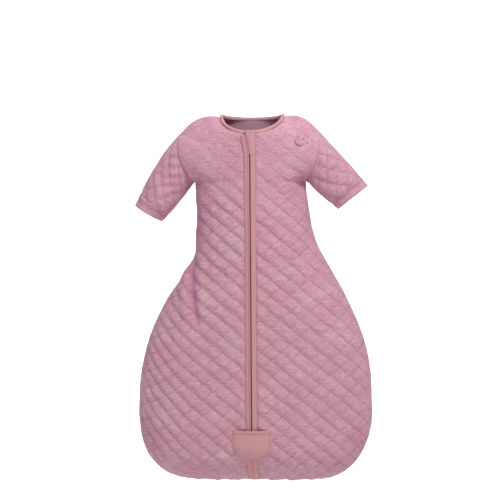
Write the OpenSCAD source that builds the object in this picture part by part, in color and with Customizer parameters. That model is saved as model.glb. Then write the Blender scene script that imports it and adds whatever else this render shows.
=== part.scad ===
// Baby sleeping bag: a quilted bag with short sleeves and a front zip that closes downwards.
// It is upright, in the shape that it has when it is worn. +Z is up, the front faces -Y and
// the wearer's left is at +X. The origin is the centre of the neck opening.

/* [Neck] */
// Half the width of the neck seam
neck_half_w = 52; // [48:1:56]
// Reach of the neck seam towards the front
neck_front = 52; // [48:1:56]
// Reach of the neck seam towards the back
neck_back = 42; // [38:1:48]
// Height of the neckline at the side of the neck, above the origin
neck_side_z = 10; // [6:1:12]
// Height of the neckline at the nape, above the origin
neck_nape_z = 5; // [2:1:8]
// Depth of the front of the neckline below the origin
neck_drop = 19; // [15:1:24]
// Height of the neck binding
binding_h = 6; // [5:0.5:8]
// Thickness of the neck binding
binding_t = 5; // [4:0.5:6]

/* [Bag] */
// Length from the origin down to the hem
bag_len = 590; // [560:5:620]
// Half the width of the chest
chest_half_w = 92; // [90:1:94]
// Half the width at the widest place
skirt_half_w = 191; // [175:1:205]
// Half the length of the hem seam
hem_half_w = 110; // [95:5:125]
// Depth of the front at the foot of the zip
front_depth = 60; // [56:1:62]
// Depth of the back at the seat
back_depth = 56; // [50:1:60]
// Height over which the bag rounds in to its hem
hem_round = 60; // [55:1:65]
// Height over which the lower corners are rounded
corner_round = 120; // [100:5:140]

/* [Quilted layers] */
// Thickness of the outer fabric
shell_t = 1; // [0.8:0.1:1.2]
// Thickness of the batting
batting_t = 2.8; // [2:0.1:3.2]
// Thickness of the lining
lining_t = 1; // [0.8:0.1:1.2]
// Gap between two layers
layer_gap = 0.1; // [0.05:0.05:0.2]
// Gap between the front and the back at a seam
seam_gap = 0.3; // [0.2:0.1:0.6]

/* [Shoulders and sleeves] */
// Sideways place of each shoulder hinge
shoulder_x = 80; // [78:1:82]
// Height of each shoulder hinge
shoulder_z = -54; // [-56:1:-52]
// Radius of the body's armhole edge about the hinge
armhole_r = 50; // [48:1:51]
// Clearance between the armhole edge and the sleeve
armhole_gap = 2; // [1.6:0.1:3]
// Half the front-to-back depth of the armhole
armhole_half_d = 36; // [30:1:40]
// How far the top of each sleeve swells out between the armhole and the cuff
sleeve_swell = 7; // [5:0.5:10]
// Distance from the hinge to the middle of the left cuff
left_cuff_reach = 112; // [106:1:140]
// Distance from the hinge to the middle of the right cuff
right_cuff_reach = 135; // [106:1:140]
// Half the height of the left cuff opening
left_cuff_half_h = 31; // [26:1:32]
// Half the height of the right cuff opening
right_cuff_half_h = 26; // [26:1:32]
// Half the front-to-back depth of the left cuff opening
left_cuff_half_d = 25; // [22:1:30]
// Half the front-to-back depth of the right cuff opening
right_cuff_half_d = 29; // [22:1:30]

/* [Zip] */
// Half the gap between the two front panels
panel_gap_half = 9.6; // [9.5:0.1:10.5]
// Half the width of the slit between the two placket strips
slit_half = 1.15; // [1.1:0.05:1.4]
// Length of the straight zip line, from the neckline to the foot of the tape
zip_len = 511; // [505:1:515]
// Length of the chin guard
chin_guard_len = 38; // [30:1:40]
// Length of the slider body
slider_len = 12; // [10:0.5:13]
// Length of the pull tab from its pin to its tip
pull_len = 15; // [12:0.5:15]
// Width of the pull tab
pull_w = 7; // [5:0.5:8]

/* [Zipper garage] */
// Width of the garage at its mouth
garage_w = 65; // [55:1:75]
// Height of the garage
garage_h = 48; // [40:1:52]
// Distance from the neckline down to the garage's mouth
garage_top = 488; // [486:1:490]
// Room in front of the placket inside the garage
garage_room = 6; // [5.9:0.1:7]

/* [Hidden] */

quilt_pink = [0.78, 0.60, 0.65];
lining_pink = [0.84, 0.68, 0.72];
batting_white = [0.95, 0.94, 0.93];
coral = [0.76, 0.57, 0.60];
tape_rose = [0.62, 0.41, 0.44];

// ---- layers, as depths below the outer face ----
shell_span = [0, shell_t];
batting_span = [shell_t + layer_gap, shell_t + layer_gap + batting_t];
lining_span = [batting_span[1] + layer_gap, batting_span[1] + layer_gap + lining_t];
quilt_t = lining_span[1];

// ---- side line ----
// Each entry is the height as a share of the length, then the share of the flare reached there
flare_line = [[0.18, 0], [0.22, 0.005], [0.29, 0.025], [0.36, 0.10], [0.42, 0.27], [0.5, 0.55],
              [0.58, 0.78], [0.68, 0.94], [0.8, 1]];
corner_z = -(bag_len - corner_round);

function slope_at(line, i) =
    (line[min(i + 1, len(line) - 1)][1] - line[max(i - 1, 0)][1])
    / (line[min(i + 1, len(line) - 1)][0] - line[max(i - 1, 0)][0]);
function segment_of(line, t) =
    max([0, for (i = [0 : len(line) - 2]) if (t >= line[i][0]) i]);
function hermite(a, b, slope_a, slope_b, run, s) =
    a * (2 * s ^ 3 - 3 * s ^ 2 + 1) + b * (3 * s ^ 2 - 2 * s ^ 3)
    + run * (slope_a * (s ^ 3 - 2 * s ^ 2 + s) + slope_b * (s ^ 3 - s ^ 2));
function value_on(line, t) =
    let (i = segment_of(line, t), run = line[i + 1][0] - line[i][0])
    hermite(line[i][1], line[i + 1][1], slope_at(line, i), slope_at(line, i + 1), run,
            min(1, max(0, (t - line[i][0]) / run)));

function flared_half_w(z) =
    chest_half_w + (skirt_half_w - chest_half_w) * value_on(flare_line, -z / bag_len);
function corner_half_w(z) =
    hem_half_w + (skirt_half_w - hem_half_w) * sqrt(max(0, 1 - ((corner_z - z) / corner_round) ^ 2));
function half_w(z) = z < corner_z ? corner_half_w(z) : flared_half_w(z);

// ---- front and back lines, on the plane of symmetry ----
hem_top_z = -(bag_len - hem_round);
zip_tilt = atan((front_depth - neck_front) / (-hem_top_z - neck_drop));
back_line = [[-5, neck_back], [70, 49], [160, 50], [330, back_depth], [530, back_depth - 4]];
function hem_share(z) = z < hem_top_z ? sqrt(max(0, 1 - ((hem_top_z - z) / hem_round) ^ 2)) : 1;
function front_at(z) =
    z < hem_top_z ? front_depth * hem_share(z) : neck_front + (-z - neck_drop) * tan(zip_tilt);
function back_at(z) = value_on(back_line, -max(z, hem_top_z)) * hem_share(z);

// ---- rows of the panels: first the shoulder seam, then the armhole, then the side seam ----
seam_steps = 3;
arc_steps = 8;
arc_top = 71;
arc_end = -85;
opening_mid = -17.3;
opening_half = 57.1;
upper_rows = seam_steps + arc_steps;
side_heights = [-122, -142, -166, -192, -216, -240, -268, -300, -340, -384, -428, -470, -504, -530];
hem_turns = [24, 46, 64, 78, 90];
row_count = upper_rows + len(side_heights) + len(hem_turns);

function on_circle(turn, radius) =
    [shoulder_x + radius * cos(turn), shoulder_z + radius * sin(turn)];
neck_edge = [neck_half_w, neck_side_z - binding_h];
shoulder_pull = [84, 18];
shoulder_tip = on_circle(arc_top, armhole_r);
armpit_z = on_circle(arc_end, armhole_r)[1];
neck_front_z = -neck_drop - binding_h - seam_gap;
neck_nape_row_z = neck_nape_z - binding_h - seam_gap;
function shoulder_seam(t) =
    neck_edge * (1 - t) ^ 2 + shoulder_pull * (2 * t * (1 - t)) + shoulder_tip * t ^ 2;
function arc_turn(i) = arc_top + (arc_end - arc_top) * (i - seam_steps) / arc_steps;
function lower_z(i) =
    i <= upper_rows + len(side_heights)
    ? side_heights[i - upper_rows - 1]
    : hem_top_z - hem_round * sin(hem_turns[i - upper_rows - len(side_heights) - 1]);
function edge_of(i) =
    i <= seam_steps ? shoulder_seam(i / seam_steps)
    : i <= upper_rows ? on_circle(arc_turn(i), armhole_r)
    : [half_w(lower_z(i)), lower_z(i)];
function opening_share(turn) = sqrt(max(0, 1 - ((turn - opening_mid) / opening_half) ^ 2));
function edge_half_d(i) =
    i > seam_steps && i < upper_rows ? armhole_half_d * opening_share(arc_turn(i)) : 0;
function is_armhole(i) = edge_half_d(i) > 0;
function middle_z(i, top_z) =
    i <= upper_rows ? top_z + (armpit_z - top_z) * i / upper_rows : lower_z(i);
// How far a row keeps to the oval of the neck: 0 at the neck, 1 from the shoulder tip on
function row_rise(i, across) =
    let (settled = min(1, i / seam_steps))
    (1 - settled) * (1 - cos(across)) + settled * sin(across) ^ 2;

// A point of a panel. Side is -1 on the front and 1 on the back.
function panel_point(i, across, side, inner_x, top_z) =
    let (edge = edge_of(i), mid_z = middle_z(i, top_z),
         mid_y = side < 0 ? front_at(mid_z) : back_at(mid_z),
         edge_y = max(edge_half_d(i), seam_gap / 2))
    [sign(across) * (inner_x + (edge[0] - inner_x) * sin(abs(across))),
     side * max(seam_gap / 2, edge_y + (mid_y - edge_y) * cos(across)),
     mid_z + (edge[1] - mid_z) * row_rise(i, across)];

function unit(v) = v / norm(v);
function flat_y(v) = unit([v[0], 0, v[2]]);
function flat_x(v) = unit([0, v[1], v[2]]);
// A direction with its part along the shoulder hinge's radius taken away
function off_radius(v, p) =
    let (r = unit([abs(p[0]) - shoulder_x, 0, p[2] - shoulder_z]),
         spoke = [sign(p[0]) * r[0], 0, r[2]])
    unit(v - (v * spoke) * spoke);
// The outward direction at a grid point, from its neighbours
function grid_out(grid, i, j) =
    let (n = len(grid) - 1, m = len(grid[0]) - 1,
         down = grid[min(i + 1, n)][j] - grid[max(i - 1, 0)][j],
         along = grid[i][min(j + 1, m)] - grid[i][max(j - 1, 0)])
    unit(cross(down, along));
function edge_out(v, p, i) = is_armhole(i) ? off_radius(v, p) : flat_y(v);
function hem_out(p) = abs(p[0]) > hem_half_w - 1 ? unit([sign(p[0]), 0, -1]) : [0, 0, -1];

front_steps = 9;
tiny_turn = 0.001;
front_turns = [for (j = [0 : front_steps]) 90 * j / front_steps];
front_grid = [for (i = [0 : row_count]) [for (a = front_turns)
    panel_point(i, max(a, tiny_turn), -1, panel_gap_half, neck_front_z)]];
front_out = [for (i = [0 : row_count]) [for (j = [0 : front_steps])
    let (v = grid_out(front_grid, i, j), p = front_grid[i][j])
    i == row_count ? hem_out(p) : j == front_steps ? edge_out(v, p, i) : j == 0 ? flat_x(v) : v]];

back_steps = 16;
back_turns = [for (j = [0 : back_steps]) 90 - 180 * j / back_steps];
back_grid = [for (i = [0 : row_count]) [for (a = back_turns)
    panel_point(i, a, 1, 0, neck_nape_row_z)]];
back_out = [for (i = [0 : row_count]) [for (j = [0 : back_steps])
    let (v = grid_out(back_grid, i, j), p = back_grid[i][j])
    i == row_count ? hem_out(p) : j == 0 || j == back_steps ? edge_out(v, p, i) : v]];

// ---- solids from grids ----
function both_ways(a, b, c, d) = [[a, b, c], [a, c, d]];
function join(lists) = [for (l = lists) each l];
function offset_points(grid, out, depth) =
    [for (i = [0 : len(grid) - 1]) for (j = [0 : len(grid[0]) - 1]) grid[i][j] - out[i][j] * depth];

// A closed slab between two depths below a grid
module slab(grid, out, span) {
    rows = len(grid);
    cols = len(grid[0]);
    last = rows - 1;
    edge = cols - 1;
    function near(i, j) = i * cols + j;
    function far(i, j) = rows * cols + i * cols + j;
    faces = join([for (i = [0 : rows - 2]) for (j = [0 : cols - 2]) join([
            both_ways(near(i, j), near(i, j + 1), near(i + 1, j + 1), near(i + 1, j)),
            both_ways(far(i, j), far(i + 1, j), far(i + 1, j + 1), far(i, j + 1))])]);
    ends = join([for (j = [0 : cols - 2]) join([
            both_ways(near(0, j + 1), near(0, j), far(0, j), far(0, j + 1)),
            both_ways(near(last, j), near(last, j + 1), far(last, j + 1), far(last, j))])]);
    sides = join([for (i = [0 : rows - 2]) join([
            both_ways(near(i, 0), near(i + 1, 0), far(i + 1, 0), far(i, 0)),
            both_ways(near(i + 1, edge), near(i, edge), far(i, edge), far(i + 1, edge))])]);
    polyhedron(points = concat(offset_points(grid, out, span[0]), offset_points(grid, out, span[1])),
               faces = join([faces, ends, sides]), convexity = 8);
}

// A closed tube wall between two depths below a grid whose rows are closed rings
module tube_wall(grid, out, span) {
    rows = len(grid);
    cols = len(grid[0]);
    last = rows - 1;
    function near(i, j) = i * cols + j % cols;
    function far(i, j) = rows * cols + i * cols + j % cols;
    faces = join([for (i = [0 : rows - 2]) for (j = [0 : cols - 1]) join([
            both_ways(near(i, j), near(i, j + 1), near(i + 1, j + 1), near(i + 1, j)),
            both_ways(far(i, j), far(i + 1, j), far(i + 1, j + 1), far(i, j + 1))])]);
    ends = join([for (j = [0 : cols - 1]) join([
            both_ways(near(0, j + 1), near(0, j), far(0, j), far(0, j + 1)),
            both_ways(near(last, j), near(last, j + 1), far(last, j + 1), far(last, j))])]);
    polyhedron(points = concat(offset_points(grid, out, span[0]), offset_points(grid, out, span[1])),
               faces = join([faces, ends]), convexity = 8);
}

module wearer_right() {
    mirror([1, 0, 0]) children();
}

// ---- front and back panels ----
module left_front_shell() { color(quilt_pink) slab(front_grid, front_out, shell_span); }
module left_front_batting() { color(batting_white) slab(front_grid, front_out, batting_span); }
module left_front_lining() { color(lining_pink) slab(front_grid, front_out, lining_span); }
module right_front_shell() { color(quilt_pink) wearer_right() slab(front_grid, front_out, shell_span); }
module right_front_batting() {
    color(batting_white) wearer_right() slab(front_grid, front_out, batting_span);
}
module right_front_lining() { color(lining_pink) wearer_right() slab(front_grid, front_out, lining_span); }
module back_shell() { color(quilt_pink) slab(back_grid, back_out, shell_span); }
module back_batting() { color(batting_white) slab(back_grid, back_out, batting_span); }
module back_lining() { color(lining_pink) slab(back_grid, back_out, lining_span); }

// ---- neck binding: a folded band round the neck, open at the front for the zip ----
binding_steps = 34;
binding_rest = 0.5;
binding_end_x = panel_gap_half + 0.4;
binding_start = asin(binding_end_x / (neck_half_w - binding_rest - binding_t));
function neck_ring(turn, inset, drop) =
    let (reach = cos(turn) > 0 ? neck_front : neck_back,
         end_z = cos(turn) > 0 ? -neck_drop : neck_nape_z)
    [(neck_half_w - inset) * sin(turn), -(reach - inset) * cos(turn),
     neck_side_z - (neck_side_z - end_z) * abs(cos(turn)) - drop];
module neck_binding() {
    sweep = 360 - 2 * binding_start;
    turns = [for (k = [0 : binding_steps]) binding_start + sweep * k / binding_steps];
    outside = binding_rest;
    inside = binding_rest + binding_t;
    rings = [for (t = turns) [neck_ring(t, outside, 0), neck_ring(t, outside, binding_h),
                              neck_ring(t, inside, binding_h), neck_ring(t, inside, 0)]];
    walls = join([for (k = [0 : binding_steps - 1]) for (c = [0 : 3]) both_ways(
            4 * k + c, 4 * (k + 1) + c, 4 * (k + 1) + (c + 1) % 4, 4 * k + (c + 1) % 4)]);
    last = 4 * binding_steps;
    color(coral)
        polyhedron(points = join(rings),
                   faces = join([walls, both_ways(0, 1, 2, 3),
                                 both_ways(last + 3, last + 2, last + 1, last)]),
                   convexity = 6);
}

// ---- zip: every piece on its straight line ----
// The local Y is the depth into the bag and the local Z is the place along the zip line
module on_zip_line() {
    translate([0, -neck_front, -neck_drop]) rotate([-zip_tilt, 0, 0]) children();
}
placket_face = -0.6;
placket_back = 0.6;
slider_plate_t = 1;
play = 0.3;
front_plate_y = placket_back + play;
coil_y = front_plate_y + slider_plate_t + play;
coil_t = 1.6;
coil_inner = 0.7;
coil_outer = 3;
back_plate_y = coil_y + coil_t + play;
tape_t = 0.5;
tape_y = coil_y + coil_t / 2 - tape_t / 2;
tape_inner = coil_outer + layer_gap / 2;
placket_outer = panel_gap_half - seam_gap;
placket_web = 5.5;
placket_web_end = tape_y - layer_gap;
placket_top = -(binding_h + 0.5);
coil_under_guard = 4;
coil_top = -(chin_guard_len - coil_under_guard);
coil_foot_room = 5;
coil_foot = -(zip_len - coil_foot_room);

module placket_strip() {
    face = [[slit_half, placket_face], [placket_outer, placket_face],
            [placket_outer, placket_web_end], [placket_web, placket_web_end],
            [placket_web, placket_back], [slit_half, placket_back]];
    translate([0, 0, -zip_len]) linear_extrude(height = zip_len + placket_top) polygon(face);
}
module left_placket() { color(coral) on_zip_line() placket_strip(); }
module right_placket() { color(coral) wearer_right() on_zip_line() placket_strip(); }

module tape_strip() {
    translate([tape_inner, tape_y, -zip_len])
        cube([placket_outer - tape_inner, tape_t, zip_len + placket_top]);
}
module left_zipper_tape() { color(tape_rose) on_zip_line() tape_strip(); }
module right_zipper_tape() { color(tape_rose) wearer_right() on_zip_line() tape_strip(); }

// One row of the coil, rounded on its outer edges
module coil_row() {
    r = coil_t / 2;
    translate([0, 0, coil_foot]) linear_extrude(height = coil_top - coil_foot)
        union() {
            translate([coil_inner, coil_y]) square([coil_outer - coil_inner - r, coil_t]);
            translate([coil_outer - r, coil_y + r]) circle(r, $fn = fine);
        }
}
module left_coil() { color(tape_rose) on_zip_line() coil_row(); }
module right_coil() { color(tape_rose) wearer_right() on_zip_line() coil_row(); }

stop_h = 3;
module stop_block(height) {
    translate([-coil_outer, coil_y, 0]) cube([2 * coil_outer, coil_t, height]);
}
module zipper_top_stop() {
    color(tape_rose) on_zip_line() translate([0, 0, coil_top + layer_gap]) stop_block(stop_h);
}
module zipper_foot_box() {
    color(tape_rose) on_zip_line()
        translate([0, 0, coil_foot - stop_h - layer_gap]) stop_block(stop_h);
}

// The flap behind the zip that keeps it off the skin
guard_half_w = 14;
guard_t = 1;
guard_y = quilt_t + 1.2;
guard_drop = 12;
module inner_zip_guard() {
    color(lining_pink) on_zip_line() translate([-guard_half_w, guard_y, -zip_len])
        cube([2 * guard_half_w, guard_t, zip_len - guard_drop]);
}

// The flap over the top of the zip, tapering down to the slit
guard_face = placket_face - play;
chin_guard_t = 1.2;
chin_tip_half_w = 4;
chin_top = -0.5;
chin_shoulder = -chin_guard_len * 0.55;
module chin_guard() {
    outline = [[-placket_outer, chin_top], [placket_outer, chin_top],
               [placket_outer, chin_shoulder], [chin_tip_half_w, -chin_guard_len],
               [-chin_tip_half_w, -chin_guard_len], [-placket_outer, chin_shoulder]];
    color(coral) on_zip_line() translate([0, guard_face, 0]) rotate([90, 0, 0])
        linear_extrude(height = chin_guard_t) polygon(outline);
}

// The strip that closes the front below the foot of the zip and runs to the hem
lower_turns = [0, 18, 36, 54, 72, 90];
lower_gap = 0.6;
lower_columns = [-placket_outer, 0, placket_outer];
function lower_point(turn, x) =
    let (z = hem_top_z - lower_gap - (hem_round - lower_gap) * sin(turn))
    [x, -max(front_at(z), seam_gap / 2), z];
module lower_placket() {
    grid = [for (t = lower_turns) [for (x = lower_columns) lower_point(t, x)]];
    last = len(grid) - 1;
    out = [for (i = [0 : last]) [for (j = [0 : len(lower_columns) - 1])
        i == last ? [0, 0, -1] : flat_x(grid_out(grid, i, j))]];
    color(coral) slab(grid, out, [0, quilt_t]);
}

// ---- zipper garage: a D-shaped pocket, open at the top, over the foot of the zip ----
garage_t = 1.2;
garage_straight = 0.4;
garage_roundness = 0.98;
garage_rows = 10;
garage_cols = 12;
garage_clear = 0.4;
garage_mouth_z = -neck_drop - garage_top;
function garage_round(share) = max(0, (share - garage_straight) / (1 - garage_straight));
function garage_half_w(share) =
    garage_w / 2 * sqrt(1 - (garage_roundness * garage_round(share)) ^ 2);
// Depth of the front panel's outer face at a point of the lower bag
function front_face(x, z) =
    let (side = max(0, abs(x) - panel_gap_half) / (half_w(z) - panel_gap_half))
    front_at(z) * sqrt(1 - side ^ 2);
garage_rest = placket_face - garage_clear - garage_t;
function garage_point(share, across) =
    let (z = garage_mouth_z - garage_h * share, x = across * garage_half_w(share),
         swell = (1 - across ^ 2) * (1 - garage_round(share) ^ 2))
    [x, -front_face(x, z) + garage_rest - (garage_room - garage_clear) * swell, z];
module zipper_garage() {
    grid = [for (i = [0 : garage_rows]) [for (j = [0 : garage_cols])
        garage_point(i / garage_rows, 2 * j / garage_cols - 1)]];
    out = [for (row = grid) [for (p = row) [0, -1, 0]]];
    color(coral) slab(grid, out, [0, garage_t]);
}

// ---- slider and pull tab, at the closed end inside the garage ----
slider_park = 5;
slider_top = -(garage_top + slider_park);
slider_w = 7.6;
slider_taper = 0.9;
slider_wide_from = 0.4;
slider_chamfer = 1.5;
post_w = 0.7;
post_len = 5;
post_foot = 0.6;
crown_w = 1.5;
crown_r = 1.6;
pin_y = -2.4;
pin_r = 0.55;
pin_bore_r = 0.85;
pin_drop = 3.5;
pin_z = slider_top - pin_drop;
cheek_gap = 1.1;
cheek_t = 1.2;
cheek_r = 1.4;
tab_t = 1.4;
tab_start = 4;
tab_overlap = 0.5;
tab_end_r = 2;
tab_hole_r = 1.3;
tab_hole_rise = 3.4;
fine = 32;

// A plate of the slider, wider at the end that takes in the open coil rows
module slider_plate(y) {
    wide = slider_w / 2;
    narrow = wide - slider_taper;
    shoulder = -slider_len * slider_wide_from;
    outline = [[-narrow, 0], [narrow, 0], [wide, shoulder],
               [wide, -slider_len + slider_chamfer], [wide - slider_chamfer, -slider_len],
               [-wide + slider_chamfer, -slider_len], [-wide, -slider_len + slider_chamfer],
               [-wide, shoulder]];
    translate([0, y + slider_plate_t, slider_top]) rotate([90, 0, 0])
        linear_extrude(height = slider_plate_t) polygon(outline);
}
// A round bar along X, from x = start, about the pull tab's pin
module pin_bar(start, length, r) {
    translate([start, pin_y, pin_z]) rotate([0, 90, 0]) cylinder(h = length, r = r, $fn = fine);
}
// The crown that holds the pull tab's pin
module slider_crown() {
    depth = front_plate_y - pin_y + slider_plate_t / 2;
    difference() {
        union() {
            translate([-crown_w / 2, pin_y, pin_z - crown_r]) cube([crown_w, depth, 2 * crown_r]);
            pin_bar(-crown_w / 2, crown_w, crown_r);
        }
        pin_bar(-crown_w, 2 * crown_w, pin_bore_r);
    }
}
module slider_post() {
    foot_y = front_plate_y + slider_plate_t / 2;
    translate([-post_w / 2, foot_y, slider_top - slider_len * post_foot])
        cube([post_w, back_plate_y - front_plate_y, post_len]);
}
module slider_body() {
    color("silver") on_zip_line() {
        slider_plate(front_plate_y);
        slider_plate(back_plate_y);
        slider_post();
        slider_crown();
    }
}
module tab_cheek(start) {
    pin_bar(start, cheek_t, cheek_r);
    translate([start, pin_y - tab_t / 2, pin_z - tab_start - tab_overlap])
        cube([cheek_t, tab_t, tab_start + tab_overlap]);
}
module tab_outline() {
    half = pull_w / 2;
    foot = -pull_len + tab_end_r;
    difference() {
        union() {
            translate([-half, foot]) square([pull_w, -tab_start - foot]);
            hull() for (s = [-1, 1])
                translate([s * (half - tab_end_r), foot]) circle(tab_end_r, $fn = fine);
        }
        translate([0, -pull_len + tab_hole_rise]) circle(tab_hole_r, $fn = fine);
    }
}
module pull_tab() {
    color("silver") on_zip_line() {
        tab_cheek(cheek_gap);
        tab_cheek(-cheek_gap - cheek_t);
        pin_bar(-cheek_gap - cheek_t / 2, 2 * cheek_gap + cheek_t, pin_r);
        translate([0, pin_y + tab_t / 2, pin_z]) rotate([90, 0, 0])
            linear_extrude(height = tab_t) tab_outline();
    }
}

// ---- chest motif: a small crescent and three stars, tone on tone ----
motif_t = 0.7;
motif_lift = 1.3;
motif_row = 5;
motif_col = 4;
crescent_r = 8;
crescent_bite_r = 6.6;
crescent_bite = [3.8, 1.6];
star_tips = 5;
star_waist = 0.42;
// Each star's place and the reach of its tips
motif_stars = [[6.2, 2.4, 3.2], [12.5, -3, 2.5], [13, 5.5, 1.9]];
function star(reach) =
    [for (k = [0 : 2 * star_tips - 1])
        let (r = k % 2 == 0 ? reach : reach * star_waist, turn = 180 * k / star_tips)
        [r * sin(turn), r * cos(turn)]];
module chest_motif() {
    p = front_grid[motif_row][motif_col];
    n = front_out[motif_row][motif_col];
    color("plum") translate(p + n * motif_lift) rotate([90 - asin(n[2]), 0, atan2(n[0], -n[1])])
        linear_extrude(height = motif_t) {
            difference() {
                circle(crescent_r, $fn = 48);
                translate(crescent_bite) circle(crescent_bite_r, $fn = 48);
            }
            for (s = motif_stars) translate([s[0], s[1]]) polygon(star(s[2]));
        }
}

// ---- sleeves ----
sleeve_root_r = armhole_r + armhole_gap;
ring_steps = 16;
length_steps = 6;
hem_steps = 1;
hem_share_of_sleeve = 0.84;
hem_gap_share = 0.004;
left_cuff_fall = 41.4;
right_cuff_fall = 46.5;
left_cuff_facing = 51;
right_cuff_facing = 59;

function ruled(a, b, s) = a + (b - a) * s;
// A point of a sleeve on the +X side: turn goes round the sleeve from its top over the back,
// and share goes along it. A cuff is its reach, fall, facing, half height and half depth.
function cuff_middle(cuff) =
    [shoulder_x + cuff[0] * cos(cuff[1]), 0, shoulder_z - cuff[0] * sin(cuff[1])];
function cuff_rim(turn, cuff) =
    cuff_middle(cuff) + [cuff[3] * cos(turn) * sin(cuff[2]), cuff[4] * sin(turn),
                         cuff[3] * cos(turn) * cos(cuff[2])];
function root_turn(turn) = opening_mid + opening_half * cos(turn);
function swell_at(share, turn) = sleeve_swell * 4 * share * (1 - share) * max(0, cos(turn));
function sleeve_point(share, turn, cuff) =
    let (angle = root_turn(turn), spoke = [cos(angle), 0, sin(angle)],
         seam = on_circle(angle, sleeve_root_r),
         root = [seam[0], armhole_half_d * sin(turn), seam[1]])
    ruled(root, cuff_rim(turn, cuff), share) + spoke * swell_at(share, turn);
function sleeve_grid(from, to, steps, cuff) =
    [for (i = [0 : steps]) [for (j = [0 : ring_steps - 1])
        sleeve_point(from + (to - from) * i / steps, 360 * j / ring_steps, cuff)]];
function ring_out(grid, i, j) =
    let (n = len(grid) - 1, m = len(grid[0]),
         down = grid[min(i + 1, n)][j] - grid[max(i - 1, 0)][j],
         along = grid[i][(j + 1) % m] - grid[i][(j + m - 1) % m])
    unit(cross(down, along));
// The outward direction at the root, kept on the cylinder about the hinge
opening_arc = sleeve_root_r * opening_half * PI / 180;
function root_out(turn) =
    let (angle = root_turn(turn), lift = cos(turn) / opening_arc)
    unit([-sin(angle) * lift, sin(turn) / armhole_half_d, cos(angle) * lift]);
function sleeve_out(grid) =
    [for (i = [0 : len(grid) - 1]) [for (j = [0 : ring_steps - 1])
        i == 0 ? root_out(360 * j / ring_steps) : ring_out(grid, i, j)]];
left_cuff = [left_cuff_reach, left_cuff_fall, left_cuff_facing,
             left_cuff_half_h, left_cuff_half_d];
right_cuff = [right_cuff_reach, right_cuff_fall, right_cuff_facing,
              right_cuff_half_h, right_cuff_half_d];

module sleeve_layer(cuff, span) {
    grid = sleeve_grid(0, hem_share_of_sleeve, length_steps, cuff);
    tube_wall(grid, sleeve_out(grid), span);
}
module cuff_hem(cuff) {
    grid = sleeve_grid(hem_share_of_sleeve + hem_gap_share, 1, hem_steps, cuff);
    out = [for (i = [0 : hem_steps]) [for (j = [0 : ring_steps - 1]) ring_out(grid, i, j)]];
    tube_wall(grid, out, [0, quilt_t]);
}
module left_sleeve_shell() { color(quilt_pink) sleeve_layer(left_cuff, shell_span); }
module left_sleeve_batting() { color(batting_white) sleeve_layer(left_cuff, batting_span); }
module left_sleeve_lining() { color(lining_pink) sleeve_layer(left_cuff, lining_span); }
module left_cuff_hem() { color(quilt_pink) cuff_hem(left_cuff); }
module right_sleeve_shell() { color(quilt_pink) wearer_right() sleeve_layer(right_cuff, shell_span); }
module right_sleeve_batting() {
    color(batting_white) wearer_right() sleeve_layer(right_cuff, batting_span);
}
module right_sleeve_lining() { color(lining_pink) wearer_right() sleeve_layer(right_cuff, lining_span); }
module right_cuff_hem() { color(quilt_pink) wearer_right() cuff_hem(right_cuff); }

left_front_shell();
left_front_batting();
left_front_lining();
right_front_shell();
right_front_batting();
right_front_lining();
back_shell();
back_batting();
back_lining();
neck_binding();
chin_guard();
left_placket();
right_placket();
lower_placket();
left_zipper_tape();
right_zipper_tape();
left_coil();
right_coil();
zipper_top_stop();
zipper_foot_box();
inner_zip_guard();
zipper_garage();
chest_motif();
slider_body();
pull_tab();
left_sleeve_shell();
left_sleeve_batting();
left_sleeve_lining();
left_cuff_hem();
right_sleeve_shell();
right_sleeve_batting();
right_sleeve_lining();
right_cuff_hem();
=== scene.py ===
"""A quilted baby sleeping bag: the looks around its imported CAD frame. Units are metres."""
import math

import bpy
import numpy as np
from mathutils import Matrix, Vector


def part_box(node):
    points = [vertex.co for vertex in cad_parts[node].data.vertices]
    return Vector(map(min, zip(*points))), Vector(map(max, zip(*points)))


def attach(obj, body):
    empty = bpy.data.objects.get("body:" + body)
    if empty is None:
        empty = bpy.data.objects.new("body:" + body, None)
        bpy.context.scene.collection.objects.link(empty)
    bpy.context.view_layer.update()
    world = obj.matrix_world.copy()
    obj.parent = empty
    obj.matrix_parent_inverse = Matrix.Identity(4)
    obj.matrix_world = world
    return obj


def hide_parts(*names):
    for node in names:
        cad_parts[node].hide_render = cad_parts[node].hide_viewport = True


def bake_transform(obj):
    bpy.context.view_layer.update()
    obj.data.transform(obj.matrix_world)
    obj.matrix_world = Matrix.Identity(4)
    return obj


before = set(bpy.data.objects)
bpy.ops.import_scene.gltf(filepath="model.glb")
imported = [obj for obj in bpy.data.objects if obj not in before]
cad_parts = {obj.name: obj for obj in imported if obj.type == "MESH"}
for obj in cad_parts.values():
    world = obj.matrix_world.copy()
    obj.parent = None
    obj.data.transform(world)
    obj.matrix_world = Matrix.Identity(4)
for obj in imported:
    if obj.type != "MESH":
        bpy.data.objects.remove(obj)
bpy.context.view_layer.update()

MM = 0.001

# ---------------------------------------------------------------- driving sizes, from the frame
back_low, back_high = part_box("back_shell")
placket_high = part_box("left_placket")[1]
binding_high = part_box("neck_binding")[1]
garage_low, garage_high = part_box("zipper_garage")
guard_low, guard_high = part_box("chin_guard")

HEM_Z = back_low.z
SKIRT_HALF = back_high.x
PLACKET_OUTER = placket_high.x
PANEL_GAP = PLACKET_OUTER - 1.3 * MM
NECK_SIDE_Z = binding_high.z
CHIN_LEN = guard_high.z - guard_low.z
GARAGE_TOP = garage_high.z
GARAGE_H = garage_high.z - garage_low.z
GARAGE_HALF = garage_high.x

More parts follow.
